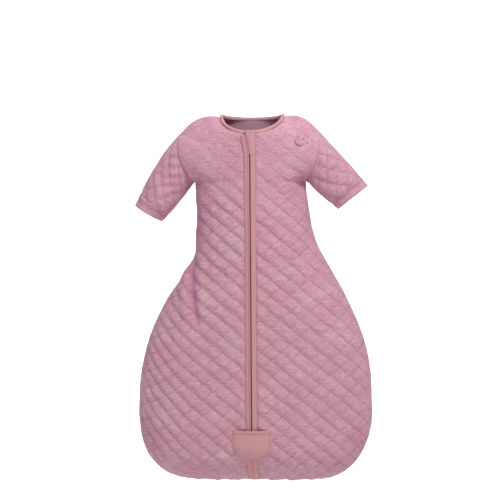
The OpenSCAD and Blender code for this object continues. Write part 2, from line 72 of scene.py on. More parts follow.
CHEST_HALF = 92 * MM
HEM_HALF = 110 * MM
HEM_ROUND = 60 * MM
HEM_TOP = HEM_Z + HEM_ROUND
CORNER_ROUND = 120 * MM
CORNER_Z = HEM_Z + CORNER_ROUND
NECK_HALF, NECK_FRONT, NECK_BACK = 52 * MM, 52 * MM, 42 * MM
NECK_DROP, NECK_NAPE_Z = 19 * MM, 5 * MM
BINDING_H = 6 * MM
FRONT_DEPTH = 60 * MM
ZIP_LEN = 511 * MM
SLIT_HALF = 1.15 * MM
QUILT_T = 3.4 * MM
LINING_DEPTH = 4.3 * MM

SIDES = {"left": 1, "right": -1}
# The quilting's diamonds on the bag and on the sleeves, as width and height
BAG_DIAMOND = (32 * MM, 26 * MM)
SLEEVE_DIAMOND = (27 * MM, 27 * MM)

# ---------------------------------------------------------------- small numeric helpers


def smooth_line(points, t):
    """A smooth curve through (place, value) points, read at t."""
    x, y = np.array(points, float).T
    slope = np.gradient(y, x)
    i = np.clip(np.searchsorted(x, t, side="right") - 1, 0, len(x) - 2)
    run = x[i + 1] - x[i]
    s = np.clip((t - x[i]) / run, 0, 1)
    rise = y[i] * (2 * s**3 - 3 * s**2 + 1) + y[i + 1] * (3 * s**2 - 2 * s**3)
    return rise + run * (slope[i] * (s**3 - 2 * s**2 + s) + slope[i + 1] * (s**3 - s**2))


def ease(a, b, t):
    """0 before a, 1 after b, smooth between."""
    s = np.clip((t - a) / (b - a), 0, 1)
    return s * s * (3 - 2 * s)


def near(distance, width):
    """1 at no distance, falling to 0 over about twice the width."""
    return np.exp(-((distance / width) ** 2))


def value_noise(x, y, seed):
    """Smooth noise from -1 to 1 on a unit lattice."""
    ix, iy = np.floor(x), np.floor(y)
    fx, fy = x - ix, y - iy
    fx, fy = fx * fx * (3 - 2 * fx), fy * fy * (3 - 2 * fy)

    def corner(dx, dy):
        h = np.sin((ix + dx) * 127.1 + (iy + dy) * 311.7 + seed * 74.7) * 43758.5453
        return (h - np.floor(h)) * 2 - 1

    low = corner(0, 0) * (1 - fx) + corner(1, 0) * fx
    high = corner(0, 1) * (1 - fx) + corner(1, 1) * fx
    return low * (1 - fy) + high * fy


def layered_noise(x, y, seed, layers=3):
    """Several layers of noise, each twice as fine and half as high as the one before."""
    return sum(value_noise(x * 2**k, y * 2**k, seed + 17 * k) / 2**k for k in range(layers))


def unit_rows(v):
    return v / np.maximum(np.linalg.norm(v, axis=-1, keepdims=True), 1e-12)


def squared(v, power):
    """A sine or cosine flattened toward the side of a rounded square."""
    return np.sign(v) * np.abs(v) ** power


def line_run(path):
    """Distance along a line of points, from its first."""
    return np.concatenate([[0], np.cumsum(np.linalg.norm(np.diff(path, axis=0), axis=1))])


ZIP_TOP = np.array([0, -NECK_FRONT, -NECK_DROP])
ZIP_SLOPE = (FRONT_DEPTH - NECK_FRONT) / (-HEM_TOP - NECK_DROP)
ZIP_DOWN = unit_rows(np.array([0, -ZIP_SLOPE, -1]))
ZIP_OUT = unit_rows(np.array([0, -1, ZIP_SLOPE]))
SIDEWAYS = np.array([1.0, 0, 0])


def grid_normals(points):
    """Outward directions of a grid of points, from its rows and columns."""
    return unit_rows(np.cross(np.gradient(points, axis=0), np.gradient(points, axis=1)))


def arc_lengths(points, axis):
    """Distance along a grid from its first row or column."""
    step = np.linalg.norm(np.diff(points, axis=axis), axis=-1)
    pad = [(0, 0), (0, 0)]
    pad[axis] = (1, 0)
    return np.pad(np.cumsum(step, axis=axis), pad)


def on_surface(points, out, want):
    """Points and outward directions of a grid at wanted X and Z, by its nearest points."""
    flat_points, flat_out = points.reshape(-1, 3), out.reshape(-1, 3)
    d = np.linalg.norm(flat_points[None][..., [0, 2]] - want[:, None], axis=-1)
    order = np.argsort(d, axis=1)[:, :4]
    weight = 1 / (np.take_along_axis(d, order, axis=1) + 1e-5)
    weight = weight / weight.sum(axis=1, keepdims=True)
    y = (flat_points[order][..., 1] * weight).sum(axis=1)
    lift = unit_rows((flat_out[order] * weight[..., None]).sum(axis=1))
    return np.stack([want[:, 0], y, want[:, 1]], axis=1), lift


def segment_distance(x, z, a, b):
    """Distance to the segment from a to b in the XZ plane, and the share of the way along it."""
    a, b = np.array(a) * MM, np.array(b) * MM
    run = b - a
    share = np.clip(((x - a[0]) * run[0] + (z - a[1]) * run[1]) / (run @ run), 0, 1)
    return np.hypot(x - a[0] - share * run[0], z - a[1] - share * run[1]), share


def folds_at(x, z, folds):
    """The height of drawn folds: each is its points in millimetres, a width and a height."""
    total = np.zeros_like(x)
    for *line, width, height in folds:
        parts = [segment_distance(x, z, a, b) for a, b in zip(line[:-1], line[1:])]
        d = np.array([part[0] for part in parts])
        nearest = d.argmin(axis=0)
        share = np.array([(k + part[1]) / len(parts) for k, part in enumerate(parts)])
        along = np.take_along_axis(share, nearest[None], axis=0)[0]
        taper = np.sin(math.pi * np.clip(along, 0, 1)) ** 0.7
        total += height * MM * near(d.min(axis=0), width * MM) * taper
    return total


# ---------------------------------------------------------------- outline of the bag
FLARE = [(0.18, 0), (0.22, 0.005), (0.29, 0.025), (0.36, 0.10), (0.42, 0.27), (0.5, 0.55),
         (0.58, 0.78), (0.68, 0.94), (0.8, 1)]
BACK_LINE = [(-5, 42), (70, 49), (160, 50), (330, 56), (530, 52)]
# Where each side of the worn bag is drawn in or let out: place down it, spread and amount
EASES = {
    -1: [(-236, 32, -7.5), (-400, 60, 1.0), (-440, 45, 2.0), (-560, 60, 8.0)],
    1: [(-250, 65, 11.0), (-370, 70, 6.0), (-440, 40, 1.5), (-510, 50, 4.0), (-570, 35, 3.0)],
}


def side_half(z, side):
    """Half width of the bag at height z, on the wearer's left (side 1) or right (side -1)."""
    flared = CHEST_HALF + (SKIRT_HALF - CHEST_HALF) * smooth_line(FLARE, z / HEM_Z)
    turn = np.clip((CORNER_Z - z) / CORNER_ROUND, 0, 1)
    rounded = HEM_HALF + (SKIRT_HALF - HEM_HALF) * np.sqrt(1 - turn**2)
    eased = sum(amount * MM * near(z - place * MM, spread * MM)
                for place, spread, amount in EASES[side])
    return np.where(z < CORNER_Z, rounded, flared) + eased * hem_share(z)


def hem_share(z):
    """How full the bag is where it rounds under to the hem: 1 above, 0 at its foot."""
    return np.sqrt(np.clip(1 - (np.clip(HEM_TOP - z, 0, None) / HEM_ROUND) ** 2, 0, 1))


def lean(points):
    """The worn bag's shoulders stand a little toward the wearer's right."""
    x, z = np.abs(points[..., 0]), points[..., 2]
    amount = ease(45 * MM, 90 * MM, x) * ease(175 * MM, 125 * MM, x) * ease(-165 * MM, -105 * MM, z)
    return points - np.array([4 * MM, 0, 0]) * amount[..., None]


def middle_depth(z, face):
    """Depth of the bag on its plane of symmetry. Face is -1 on the front and 1 on the back."""
    above = np.maximum(z, HEM_TOP)
    if face < 0:
        return (NECK_FRONT + (-above - NECK_DROP) * ZIP_SLOPE) * hem_share(z)
    return smooth_line(BACK_LINE, -above / MM) * MM * hem_share(z)


# The armhole seam is an arc from the top of the shoulder down to the armpit
ARM_TOP = np.array([116, -22]) * MM
ARM_PIT = np.array([92, -102]) * MM
ARM_BULGE = 8 * MM
ARM_HALF_D = 36 * MM
# How far the cloth runs up inside the neck binding
NECK_TUCK = 2.5 * MM
NECK_EDGE = np.array([NECK_HALF - 0.8 * MM, NECK_SIDE_Z - BINDING_H + NECK_TUCK])
SHOULDER_PULL = np.array([88, 17]) * MM

SEAM_ROWS, ARM_ROWS, SIDE_ROWS, HEM_ROWS = 16, 40, 142, 30
HALF_COLS = 64


def armhole(turn):
    """X and Z of the armhole seam: turn is 0 at the shoulder and pi at the armpit."""
    share = (1 - np.cos(turn))[..., None] / 2
    across = np.array([ARM_TOP[1] - ARM_PIT[1], ARM_PIT[0] - ARM_TOP[0]])
    out = across / np.linalg.norm(across)
    return ARM_TOP + (ARM_PIT - ARM_TOP) * share + out * ARM_BULGE * 4 * share * (1 - share)


def panel_rows(face, side):
    """For each row of a panel: the edge point, the middle's height, the edge's depth, how far the row
    keeps to the oval of the neck, and the height measured along the cloth."""
    t = np.linspace(0, 1, SEAM_ROWS + 1)[:-1, None]
    seam = NECK_EDGE * (1 - t) ** 2 + SHOULDER_PULL * 2 * t * (1 - t) + ARM_TOP * t**2
    turn = np.linspace(0, math.pi, ARM_ROWS + 1)[:-1]
    upper = SEAM_ROWS + ARM_ROWS
    top = (-NECK_DROP if face < 0 else NECK_NAPE_Z) - BINDING_H + NECK_TUCK
    upper_z = top + (ARM_PIT[1] - top) * np.arange(upper) / upper
    side_z = np.linspace(ARM_PIT[1], HEM_TOP, SIDE_ROWS + 1)[:-1]
    hem_turn = np.linspace(0, math.pi / 2, HEM_ROWS + 1)
    lower_z = np.concatenate([side_z, HEM_TOP - HEM_ROUND * np.sin(hem_turn)])
    cloth_z = np.concatenate([side_z, HEM_TOP - HEM_ROUND * hem_turn])
    edge = np.concatenate([seam, armhole(turn), np.stack([side_half(lower_z, side), lower_z], axis=1)])
    edge_d = np.concatenate([0 * t[:, 0], ARM_HALF_D * np.sin(turn), 0 * lower_z])
    settled = np.clip(np.arange(len(edge)) / SEAM_ROWS, 0, 1)
    return edge, np.concatenate([upper_z, lower_z]), edge_d, settled, cloth_z


def even_turns(count):
    """Angles of a flat ellipse's quarter that stand about evenly along it."""
    a = np.linspace(0, math.pi / 2, 2001)
    step = np.sqrt((3 * np.cos(a)) ** 2 + np.sin(a) ** 2)
    run = np.concatenate([[0], np.cumsum((step[1:] + step[:-1]) / 2)])
    return np.interp(np.linspace(0, run[-1], count + 1), run, a)


def half_panel(face, side, inner_x):
    """One half of the front or back as a grid of points, with the cloth's own coordinates."""
    edge, mid_z, edge_d, settled, cloth_z = panel_rows(face, side)
    turn = even_turns(HALF_COLS)[None, :]
    mid_y = middle_depth(mid_z, face)[:, None]
    rise = (1 - settled)[:, None] * (1 - np.cos(turn)) + settled[:, None] * np.sin(turn) ** 2
    x = inner_x + (edge[:, :1] - inner_x) * np.sin(turn)
    y = edge_d[:, None] + (mid_y - edge_d[:, None]) * np.cos(turn) ** 0.92
    z = mid_z[:, None] + (edge[:, 1:] - mid_z[:, None]) * rise
    points = lean(np.stack([side * x, face * y, z], axis=-1))
    s = side * (inner_x + arc_lengths(points, 1))
    t = z.copy()
    t[SEAM_ROWS + ARM_ROWS:] = cloth_z[:, None]
    order = slice(None) if side * face < 0 else slice(None, None, -1)
    return points[:, order], s[:, order], t[:, order]


# ---------------------------------------------------------------- quilting
# On the wearer's right the cloth turns as it goes round the side, so that its lines grow steeper
TURN_START, TURN_RATE = 100 * MM, 0.6 / (90 * MM)


def stitch_place(s, t, diamond):
    """How many stitch lines of each slanting set lie before each point; whole numbers are on a line."""
    wide, tall = diamond
    beyond = np.clip(-s - TURN_START, 0, None) * ease(-150 * MM, -230 * MM, t)
    t = t - TURN_RATE * beyond**2 / 2
    wobble = 0.045 * layered_noise(s / (45 * MM), t / (38 * MM), 91, 2)
    return s / wide + t / tall + wobble, s / wide - t / tall + wobble


def snap_to_stitches(points, s, t, diamond):
    """Moves the nearest points of each row on to the stitch lines, so that the lines are clean."""
    along = unit_rows(np.gradient(points, axis=1))
    spacing = np.abs(np.gradient(s, axis=1))
    forward = np.sign(np.gradient(s, axis=1))
    rate = np.abs(np.gradient(stitch_place(s, t, diamond)[0], axis=1)) / spacing
    first, second = ((np.round(a) - a) / rate for a in stitch_place(s, t, diamond))
    inner = np.zeros(s.shape, bool)
    inner[:, 1:-1] = True
    on_first = inner & (np.abs(first) <= spacing / 2)
    on_second = inner & ~on_first & (np.abs(second) <= spacing / 2)
    shift = np.where(on_first, first, 0) + np.where(on_second, second, 0)
    return points + along * (shift * forward)[..., None], s + shift, on_first, on_second


def quilt_height(s, t, diamond, weak):
    """Height of the quilting, from 0 in the stitch lines to 1 where its padding sags lowest.
    Weak is the share of the second set."""
    first, second = stitch_place(s, t, diamond)
    sag = np.sin(math.pi * np.mod(-first, 1) ** 1.45)
    b = np.abs(np.sin(math.pi * second))
    return sag * (1 - weak + weak * (1 - (1 - b) ** 3))


def puckers(s, t, seed):
    """Small creases in the cloth, longer across than down, and a slow swell."""
    small = layered_noise(s / (12 * MM), t / (4.2 * MM), seed)
    wide = layered_noise(s / (70 * MM), t / (45 * MM), seed + 5)
    return 0.42 * MM * small + 1.1 * MM * wide


# ---------------------------------------------------------------- mesh building


def link_object(name, data):
    piece = bpy.data.objects.new(name, data)
    bpy.context.scene.collection.objects.link(piece)
    return piece


def add_object(name, verts, faces, uvs=None, values=None):
    """A smooth mesh object, with its UVs in metres of cloth and its named values for each point."""
    mesh = bpy.data.meshes.new(name)
    mesh.from_pydata(verts.tolist(), [], faces if isinstance(faces, list) else faces.tolist())
    loops = np.zeros(len(mesh.loops), np.int32)
    mesh.loops.foreach_get("vertex_index", loops)
    if uvs is not None:
        layer = mesh.uv_layers.new(name="cloth")
        layer.data.foreach_set("uv", np.asarray(uvs, np.float32)[loops].ravel())
    for label, value in (values or {}).items():
        kind, field = ("FLOAT_VECTOR", "vector") if label == "stitch" else ("FLOAT", "value")
        layer = mesh.attributes.new(label, kind, "POINT")
        layer.data.foreach_set(field, np.asarray(value, np.float32).ravel())
    mesh.polygons.foreach_set("use_smooth", np.ones(len(mesh.polygons), bool))
    mesh.update()
    return link_object(name, mesh)


def grid_faces(rows, cols, ring=False):
    i, j = np.meshgrid(np.arange(rows - 1), np.arange(cols if ring else cols - 1), indexing="ij")
    k = (j + 1) % cols
    corners = [i * cols + j, (i + 1) * cols + j, (i + 1) * cols + k, i * cols + k]
    return np.stack(corners, axis=-1).reshape(-1, 4)


def with_border(grid):
    """A grid of values with its border rows and columns repeated."""
    full = np.concatenate([grid[:1], grid, grid[-1:]])
    return np.concatenate([full[:, :1], full, full[:, -1:]], axis=1)


def sheet_object(name, points, s, t, values, depth):
    """A sheet with its rim turned in, so that it has a real edge, smoothed by one subdivision."""
    out = with_border(grid_normals(points))
    full = with_border(points)
    rim = np.ones(full.shape[:2])
    rim[1:-1, 1:-1] = 0
    full = full - out * (rim * depth)[..., None]
    rows, cols = full.shape[:2]
    uv = np.stack([with_border(s), with_border(t)], axis=-1).reshape(-1, 2)
    values = {label: with_border(value) for label, value in values.items()}
    piece = add_object(name, full.reshape(-1, 3), grid_faces(rows, cols), uv, values)
    piece.modifiers.new("smooth", "SUBSURF").levels = 1
    return applied(piece)


def applied(piece):
    """Applies the modifiers of a piece to its mesh."""
    ready = piece.evaluated_get(bpy.context.evaluated_depsgraph_get())
    mesh = bpy.data.meshes.new_from_object(ready)
    piece.modifiers.clear()
    old, piece.data = piece.data, mesh
    bpy.data.meshes.remove(old)
    return piece


def dress(piece, material, body, slot, *nodes):
    """Gives a piece its material, the body it rides on and the CAD nodes it stands for. Slot is not
    used.
    """
    piece.data.materials.clear()
    piece.data.materials.append(material)
    if body:
        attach(piece, body)
    if nodes:
        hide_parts(*nodes)
    return piece


# ---------------------------------------------------------------- cloth simulation
SIM_FRAMES = 20
SIM_CAP = 3.2 * MM
SIM_SHRINK, SIM_PRESSURE = -0.035, 4.0
QUILT_PUFF = 2.6 * MM
# No fold of the quilt goes deeper than this, so that its lining stays inside it
DEEPEST = 3.3 * MM


def swell_cloth(points, hold, share):
    """Lets a sheet that is held at its stitches swell under pressure, and returns where it goes.
    Share is how much of that movement each place keeps."""
    rows, cols = points.shape[:2]
    piece = add_object("swelling", points.reshape(-1, 3), grid_faces(rows, cols))
    group = piece.vertex_groups.new(name="hold")
    for level in np.unique(hold[hold > 0]):
        group.add(np.flatnonzero(hold.ravel() == level).tolist(), float(level), "REPLACE")
    cloth = piece.modifiers.new("cloth", "CLOTH")
    settings = cloth.settings
    settings.vertex_group_mass = "hold"
    settings.quality = 5
    settings.mass = 0.15
    settings.tension_stiffness = settings.compression_stiffness = 15
    settings.shear_stiffness = 5
    settings.bending_stiffness = 0.05
    settings.shrink_min = SIM_SHRINK
    settings.use_pressure = True
    settings.uniform_pressure_force = SIM_PRESSURE
    settings.effector_weights.gravity = 0
    cloth.collision_settings.use_collision = False
    cloth.point_cache.frame_start, cloth.point_cache.frame_end = 1, SIM_FRAMES
    scene = bpy.context.scene
    for step in range(1, SIM_FRAMES + 1):
        scene.frame_set(step)
    ready = piece.evaluated_get(bpy.context.evaluated_depsgraph_get())
    moved = np.zeros(points.size)
    ready.data.vertices.foreach_get("co", moved)
    moved = moved.reshape(points.shape) - points
    bpy.data.objects.remove(piece)
    scene.frame_set(1)
    length = np.linalg.norm(moved, axis=-1, keepdims=True)
    return points + moved * np.minimum(1, SIM_CAP / np.maximum(length, 1e-9)) * share[..., None]


def stitch_hold(on_first, on_second):
    """How firmly each point is held: fully on the first set of stitch lines, less on the second."""
    return np.where(on_first, 1.0, np.where(on_second, 0.75, 0.0))


# ---------------------------------------------------------------- materials


def new_material(name, **values):
    """A material with one Principled shader, whose plain inputs are set by name."""
    material = bpy.data.materials.new(name)
    material.use_nodes = True
    tree = material.node_tree
    tree.nodes.clear()
    out = tree.nodes.new("ShaderNodeOutputMaterial")
    shader = tree.nodes.new("ShaderNodeBsdfPrincipled")
    tree.links.new(shader.outputs[0], out.inputs[0])
    for label, value in values.items():
        shader.inputs[label.replace("_", " ")].default_value = value
    return material, tree, shader


def add_node(tree, kind, source=None, **values):
    """Adds a node, feeds source to its first input and sets its other inputs by name."""
    made = tree.nodes.new("ShaderNode" + kind)
    if source:
        tree.links.new(source, made.inputs[0])
    for label, value in values.items():
        made.inputs[label.replace("_", " ")].default_value = value
    return made


def on_cloth(tree, scale):
    """The cloth's own coordinates: scale is the grain to the metre, across and down."""
    place = add_node(tree, "UVMap")
    place.uv_map = "cloth"
    return add_node(tree, "Mapping", place.outputs["UV"], Scale=(*scale, 1)).outputs["Vector"]


def cloth_noise(tree, scale, detail=3.0, rough=0.6):
    return add_node(tree, "TexNoise", on_cloth(tree, scale),
                    Scale=1, Detail=detail, Roughness=rough).outputs["Fac"]


def cloth_wave(tree, scale, direction, distortion=1.5):
    wave = add_node(tree, "TexWave", on_cloth(tree, (scale, scale)), Scale=1, Distortion=distortion)
    wave.bands_direction = direction
    return wave.outputs["Fac"]


def ramp(tree, value, stops):
    made = tree.nodes.new("ShaderNodeValToRGB")
    elements = made.color_ramp.elements
    while len(elements) < len(stops):
        elements.new(0.5)
    for element, (place, colour) in zip(elements, stops):
        element.position = place
        element.color = (*colour, 1)
    tree.links.new(value, made.inputs["Fac"])
    return made.outputs["Color"]


def feed(tree, pairs):
    """Gives each socket its value: a number, a colour or another node's socket."""
    for value, socket in pairs:
        if isinstance(value, (int, float)):
            socket.default_value = value
        elif isinstance(value, tuple):
            socket.default_value = (*value, 1)
        else:
            tree.links.new(value, socket)


def mix(tree, a, b, factor, kind="MIX"):
    """Mixes two colours. Each of a, b and factor is a socket or a plain value."""
    made = tree.nodes.new("ShaderNodeMix")
    made.data_type, made.blend_type = "RGBA", kind
    feed(tree, ((factor, made.inputs[0]), (a, made.inputs[6]), (b, made.inputs[7])))
    return made.outputs[2]


def value_math(tree, kind, a, b=0.5):
    made = tree.nodes.new("ShaderNodeMath")
    made.operation = kind
    feed(tree, zip((a, b), made.inputs))
    return made.outputs[0]


def map_range(tree, value, *limits):
    """Maps a value smoothly: limits are from low and high, then to low and high."""
    made = tree.nodes.new("ShaderNodeMapRange")
    made.interpolation_type = "SMOOTHSTEP"
    feed(tree, zip((value, *limits), made.inputs))
    return made.outputs["Result"]


def attribute(tree, name):
    made = tree.nodes.new("ShaderNodeAttribute")
    made.attribute_name = name
    return made


# Painted shade along the quilting's stitch grooves: where it starts to fade and where it ends, as shares
# of the way to the next line
GROOVE_SHADE_SPAN = (0.008, 0.055)


def stitch_groove_shade(tree):
    """Painted shade on the quilting's stitch lines: 1 on them and 0 away, stronger on the slanting set
    the light shades more.
    """
    parts = tree.nodes.new("ShaderNodeSeparateXYZ")
    tree.links.new(attribute(tree, "stitch").outputs["Vector"], parts.inputs[0])
    lines = []
    for axis, weight in ((0, 0.95), (1, 0.7)):
        distance = value_math(tree, "PINGPONG", parts.outputs[axis])
        lines.append(map_range(tree, distance, *GROOVE_SHADE_SPAN, weight, 0))
    patchy = map_range(tree, cloth_noise(tree, (30, 60), 2, 0.6), 0.35, 0.65, 0.45, 1.0)
    strength = value_math(tree, "MULTIPLY", parts.outputs[2], patchy)
    return value_math(tree, "MULTIPLY", value_math(tree, "MAXIMUM", *lines), strength)


def add_bump(tree, shader, height, strength, distance):
    bump = add_node(tree, "Bump", Strength=strength, Distance=distance)
    tree.links.new(height, bump.inputs["Height"])
    tree.links.new(bump.outputs["Normal"], shader.inputs["Normal"])


def jersey(name, light, base, dark, heather, knit=0.3, line=None, shade=(0.88, 0.60, 0.85)):
    """Heather jersey: streaky two-tone yarn and a fine knit. Line is the colour of the painted shade in
    the quilting's stitch grooves, and shade the colour of the painted shade in folds, grooves and shaded
    places."""
    material, tree, shader = new_material(name, Sheen_Weight=0.10, Sheen_Roughness=0.5,
                                          Sheen_Tint=(1.0, 0.80, 0.92, 1), Specular_IOR_Level=0.2)
    streaks = cloth_noise(tree, (110, 350), 3, 0.66)
    flecks = cloth_noise(tree, (330, 1200), 2, 0.7)
    clouds = cloth_noise(tree, (18, 30), 2, 0.5)
    tone = ramp(tree, streaks, [(0.38, dark), (0.5, base), (0.66, light)])
    fine = ramp(tree, flecks, [(0.32, dark), (0.5, base), (0.70, light)])
    broad = ramp(tree, clouds, [(0.35, dark), (0.52, base), (0.70, light)])
    yarn = mix(tree, mix(tree, tone, fine, 0.42), broad, 0.22)
    colour = mix(tree, base, yarn, heather)
    # painted shade: the quilting's stitch grooves are darkened toward the line colour
    if line:
        colour = mix(tree, colour, mix(tree, colour, line, 1.0, "MULTIPLY"), stitch_groove_shade(tree))
    # painted shade: folds, grooves and shaded places are darkened toward the shade colour by each
    # point's fold value
    folds = attribute(tree, "fold").outputs["Fac"]
    colour = mix(tree, colour, mix(tree, colour, shade, 1.0, "MULTIPLY"), folds)
    tree.links.new(colour, shader.inputs["Base Color"])
    weave = mix(tree, cloth_wave(tree, 330, "X"), cloth_wave(tree, 420, "Y", 2.0), 0.5)
    relief = mix(tree, mix(tree, weave, flecks, 0.45), streaks, 0.35)
    add_bump(tree, shader, relief, knit, 0.0006)
    tree.links.new(map_range(tree, streaks, 0.3, 0.7, 0.8, 0.97), shader.inputs["Roughness"])
    return material


def thread_material(name, colour, dark):
    material, tree, shader = new_material(name, Roughness=0.55, Sheen_Weight=0.2)
    tone = ramp(tree, cloth_noise(tree, (900, 2600), 2, 0.6), [(0.3, dark), (0.7, colour)])
    tree.links.new(tone, shader.inputs["Base Color"])
    return material


def surface_noise(tree, scale):
    """Noise laid out in the object's own space, for carried-over CAD nodes."""
    place = add_node(tree, "TexCoord").outputs["Object"]
    return add_node(tree, "TexNoise", place, Scale=scale, Detail=3.0).outputs["Fac"]


def hard_material(name, light, dark, metal, rough_low, rough_high):
    material, tree, shader = new_material(name, Metallic=metal)
    grain = surface_noise(tree, 900)
    tree.links.new(ramp(tree, grain, [(0.3, dark), (0.7, light)]), shader.inputs["Base Color"])
    rough = add_node(tree, "MapRange", surface_noise(tree, 260), To_Min=rough_low, To_Max=rough_high)
    tree.links.new(rough.outputs["Result"], shader.inputs["Roughness"])
    add_bump(tree, shader, grain, 0.15, 0.0001)
    return material


# The quilt's line colour is a painted shade for its stitch grooves
QUILT = jersey("heather_quilted_jersey", (0.665, 0.485, 0.54), (0.56, 0.295, 0.36), (0.49, 0.205, 0.285),
               heather=0.95, line=(0.74, 0.46, 0.66))
LINING = jersey("lining_jersey", (0.56, 0.34, 0.42), (0.50, 0.27, 0.35), (0.44, 0.22, 0.30),
                heather=0.5)
TRIM = jersey("coral_trim_jersey", (0.62, 0.33, 0.345), (0.57, 0.29, 0.31), (0.51, 0.25, 0.275),
              heather=0.5, knit=0.2, shade=(0.70, 0.56, 0.58))
TAPE = jersey("zipper_tape_weave", (0.84, 0.43, 0.46), (0.76, 0.37, 0.40), (0.66, 0.31, 0.34),
              heather=0.6)
COIL = hard_material("zipper_coil_nylon", (0.90, 0.46, 0.49), (0.80, 0.38, 0.41), 0.0, 0.3, 0.5)
METAL = hard_material("zipper_satin_metal", (0.66, 0.63, 0.62), (0.56, 0.54, 0.53), 1.0, 0.25, 0.42)
TRIM_THREAD = thread_material("coral_thread", (0.60, 0.32, 0.34), (0.46, 0.22, 0.25))
QUILT_THREAD = thread_material("pink_thread", (0.60, 0.34, 0.40), (0.46, 0.23, 0.30))
SATIN = thread_material("embroidery_thread", (0.63, 0.34, 0.41), (0.55, 0.28, 0.35))

# ---------------------------------------------------------------- front, back and their linings
# Folds of the worn cloth on the front: points, as X and Z in millimetres, then width and height
FRONT_FOLDS = [
    ((-90, -195), (-95, -225), (-98, -255), (-96, -290), (-89, -325), (-80, -350), 5.0, -4.2),
    ((-104, -215), (-112, -250), (-112, -290), (-104, -325), 8, 4.2),
    ((-84, -190), (-82, -240), (-84, -290), (-76, -330), 8, 3.4),
    ((-96, -238), (-78, -250), (-62, -268), 5, -1.8), ((-94, -262), (-74, -278), (-56, -300), 6, -1.5),
    ((-92, -225), (-76, -232), (-60, -244), 5, -1.4),
    ((84, -104), (62, -104), 4, -1.8), ((88, -106), (68, -118), (50, -124), 4, -2.4),
    ((86, -110), (68, -130), (50, -142), 4.5, -2.0), ((84, -116), (72, -142), 5, -1.6),
    ((90, -96), (74, -86), (62, -82), 4.5, -1.6),
    ((-90, -106), (-72, -116), (-58, -120), 5, -1.8), ((-88, -112), (-74, -130), (-62, -140), 5, -1.6),
    ((-92, -102), (-80, -96), (-70, -92), 5, -1.2),
    ((-100, -66), (-97, -80), (-90, -98), 6, -1.4), ((99, -70), (96, -84), (90, -98), 6, -1.2),
    ((-92, 0), (-74, -12), (-60, -26), 8, -1.0), ((88, -4), (72, -14), (58, -30), 8, -1.0),
]
# Broad painted shades of the worn front, in the same form, each with its strength
FRONT_SHADES = [
    ((-96, -110), (-94, -160), (-92, -215), 17, 0.75), ((-99, -205), (-98, -270), (-84, -345), 8, 0.5),
    ((96, -95), (80, -112), 12, 0.9), ((-96, -98), (-84, -108), 12, 0.8),
    ((94, -120), (92, -190), 10, 0.35),
    ((-180, -470), (-150, -560), 20, 0.3), ((182, -470), (150, -560), 16, 0.2),
    ((-60, 0), (-84, -4), 9, 0.35), ((60, 0), (84, -4), 9, 0.45),
]
GARAGE_CORNER = 0.4


def garage_half(share):
    """Half width of the garage at a share of its height from the mouth."""
    turn = np.clip((share - GARAGE_CORNER) / (1 - GARAGE_CORNER), 0, 1)
    return GARAGE_HALF * np.sqrt(np.clip(1 - (0.985 * turn) ** 2, 0, 1))


def under_garage(x, z):
    share = (GARAGE_TOP - z) / GARAGE_H
    inside = ease(1.06, 0.94, share) * ease(-0.05, 0.03, share)
    return inside * ease(4 * MM, -2 * MM, np.abs(x) - garage_half(share))


def quilt_half(face, side, inner_x, seed):
    """A quilted half panel: its points, its cloth coordinates, and its stitches and fold shades."""
    points, s, t = half_panel(face, side, inner_x)
    points, s, on_first, on_second = snap_to_stitches(points, s, t, BAG_DIAMOND)
    out = grid_normals(points)
    x, z = points[..., 0], points[..., 2]
    to_side = np.abs(s).max(axis=1, keepdims=True) - np.abs(s)
    to_middle = np.abs(s) - inner_x if inner_x else np.ones_like(s)
    to_top = arc_lengths(points, 0)
    to_hem = t - t.min()
    at_armhole = np.zeros(s.shape)
    at_armhole[SEAM_ROWS:SEAM_ROWS + ARM_ROWS] = 1
    calm = ease(0, 9 * MM, to_side) * ease(0, 5 * MM, to_middle) * ease(0, 8 * MM, to_top)
    calm = calm * ease(0, 8 * MM, to_hem)
    covered = under_garage(x, z) if face < 0 else 0 * x
    # The quilting is flatter at the top, and flattest on the wearer's right of the chest
    least = 0.33 if face < 0 else 0.7
    full = least + (1 - least) * ease(-50 * MM, -170 * MM, z)
    if face < 0:
        full *= 1 - 0.45 * ease(-15 * MM, -45 * MM, x) * ease(-125 * MM, -95 * MM, z)
    slack = (0.3 + 0.7 * calm) * (0.22 + 0.78 * ease(4 * MM, 55 * MM, to_side))
    puff = quilt_height(s, t, BAG_DIAMOND, 0.7)
    height = QUILT_PUFF * puff * slack * full - 1.2 * MM
    height += puckers(s, t, seed) * calm * (0.35 + 0.65 * ease(4 * MM, 45 * MM, to_side))
    height -= 1.0 * MM * near(to_side, 2.5 * MM) + 1.0 * MM * near(to_hem, 3 * MM)
    height += 1.3 * MM * np.abs(np.sin(math.pi * s / (17 * MM))) * near(to_hem - 8 * MM, 8 * MM)
    # painted shade: darker in the valleys of the drawn folds and in the broad shaded places of the front
    shades = np.zeros_like(s)
    if face < 0:
        folded = folds_at(x, z, FRONT_FOLDS)
        height += folded
        shades = 0.3 * np.clip(-folded / (6.5 * MM), 0, 1) + folds_at(x, z, FRONT_SHADES) / MM
        shades = np.clip(shades, 0, 0.9)
    height = np.maximum(height * (1 - covered) - 0.8 * MM * covered, -DEEPEST)
    height = height * (1 - at_armhole * (1 - ease(0, 8 * MM, to_side)))
    hold = stitch_hold(on_first, on_second)
    border = np.minimum(calm, 1 - covered) < 0.5
    hold[border] = 1.0
    outline = ease(4 * MM, 50 * MM, to_side)
    moved = swell_cloth(points + out * height[..., None], hold, (0.2 + 0.8 * outline) * full)
    # How strong the painted shade in the stitch grooves is: weaker at the edges and where the quilting
    # is flatter, none under the pocket
    strength = (0.25 + 0.75 * calm) * (1 - covered) * (0.1 + 0.9 * full)
    stitch = np.stack([*stitch_place(s, t, BAG_DIAMOND), strength], axis=-1)
    return moved, s, t, {"stitch": stitch, "fold": shades}


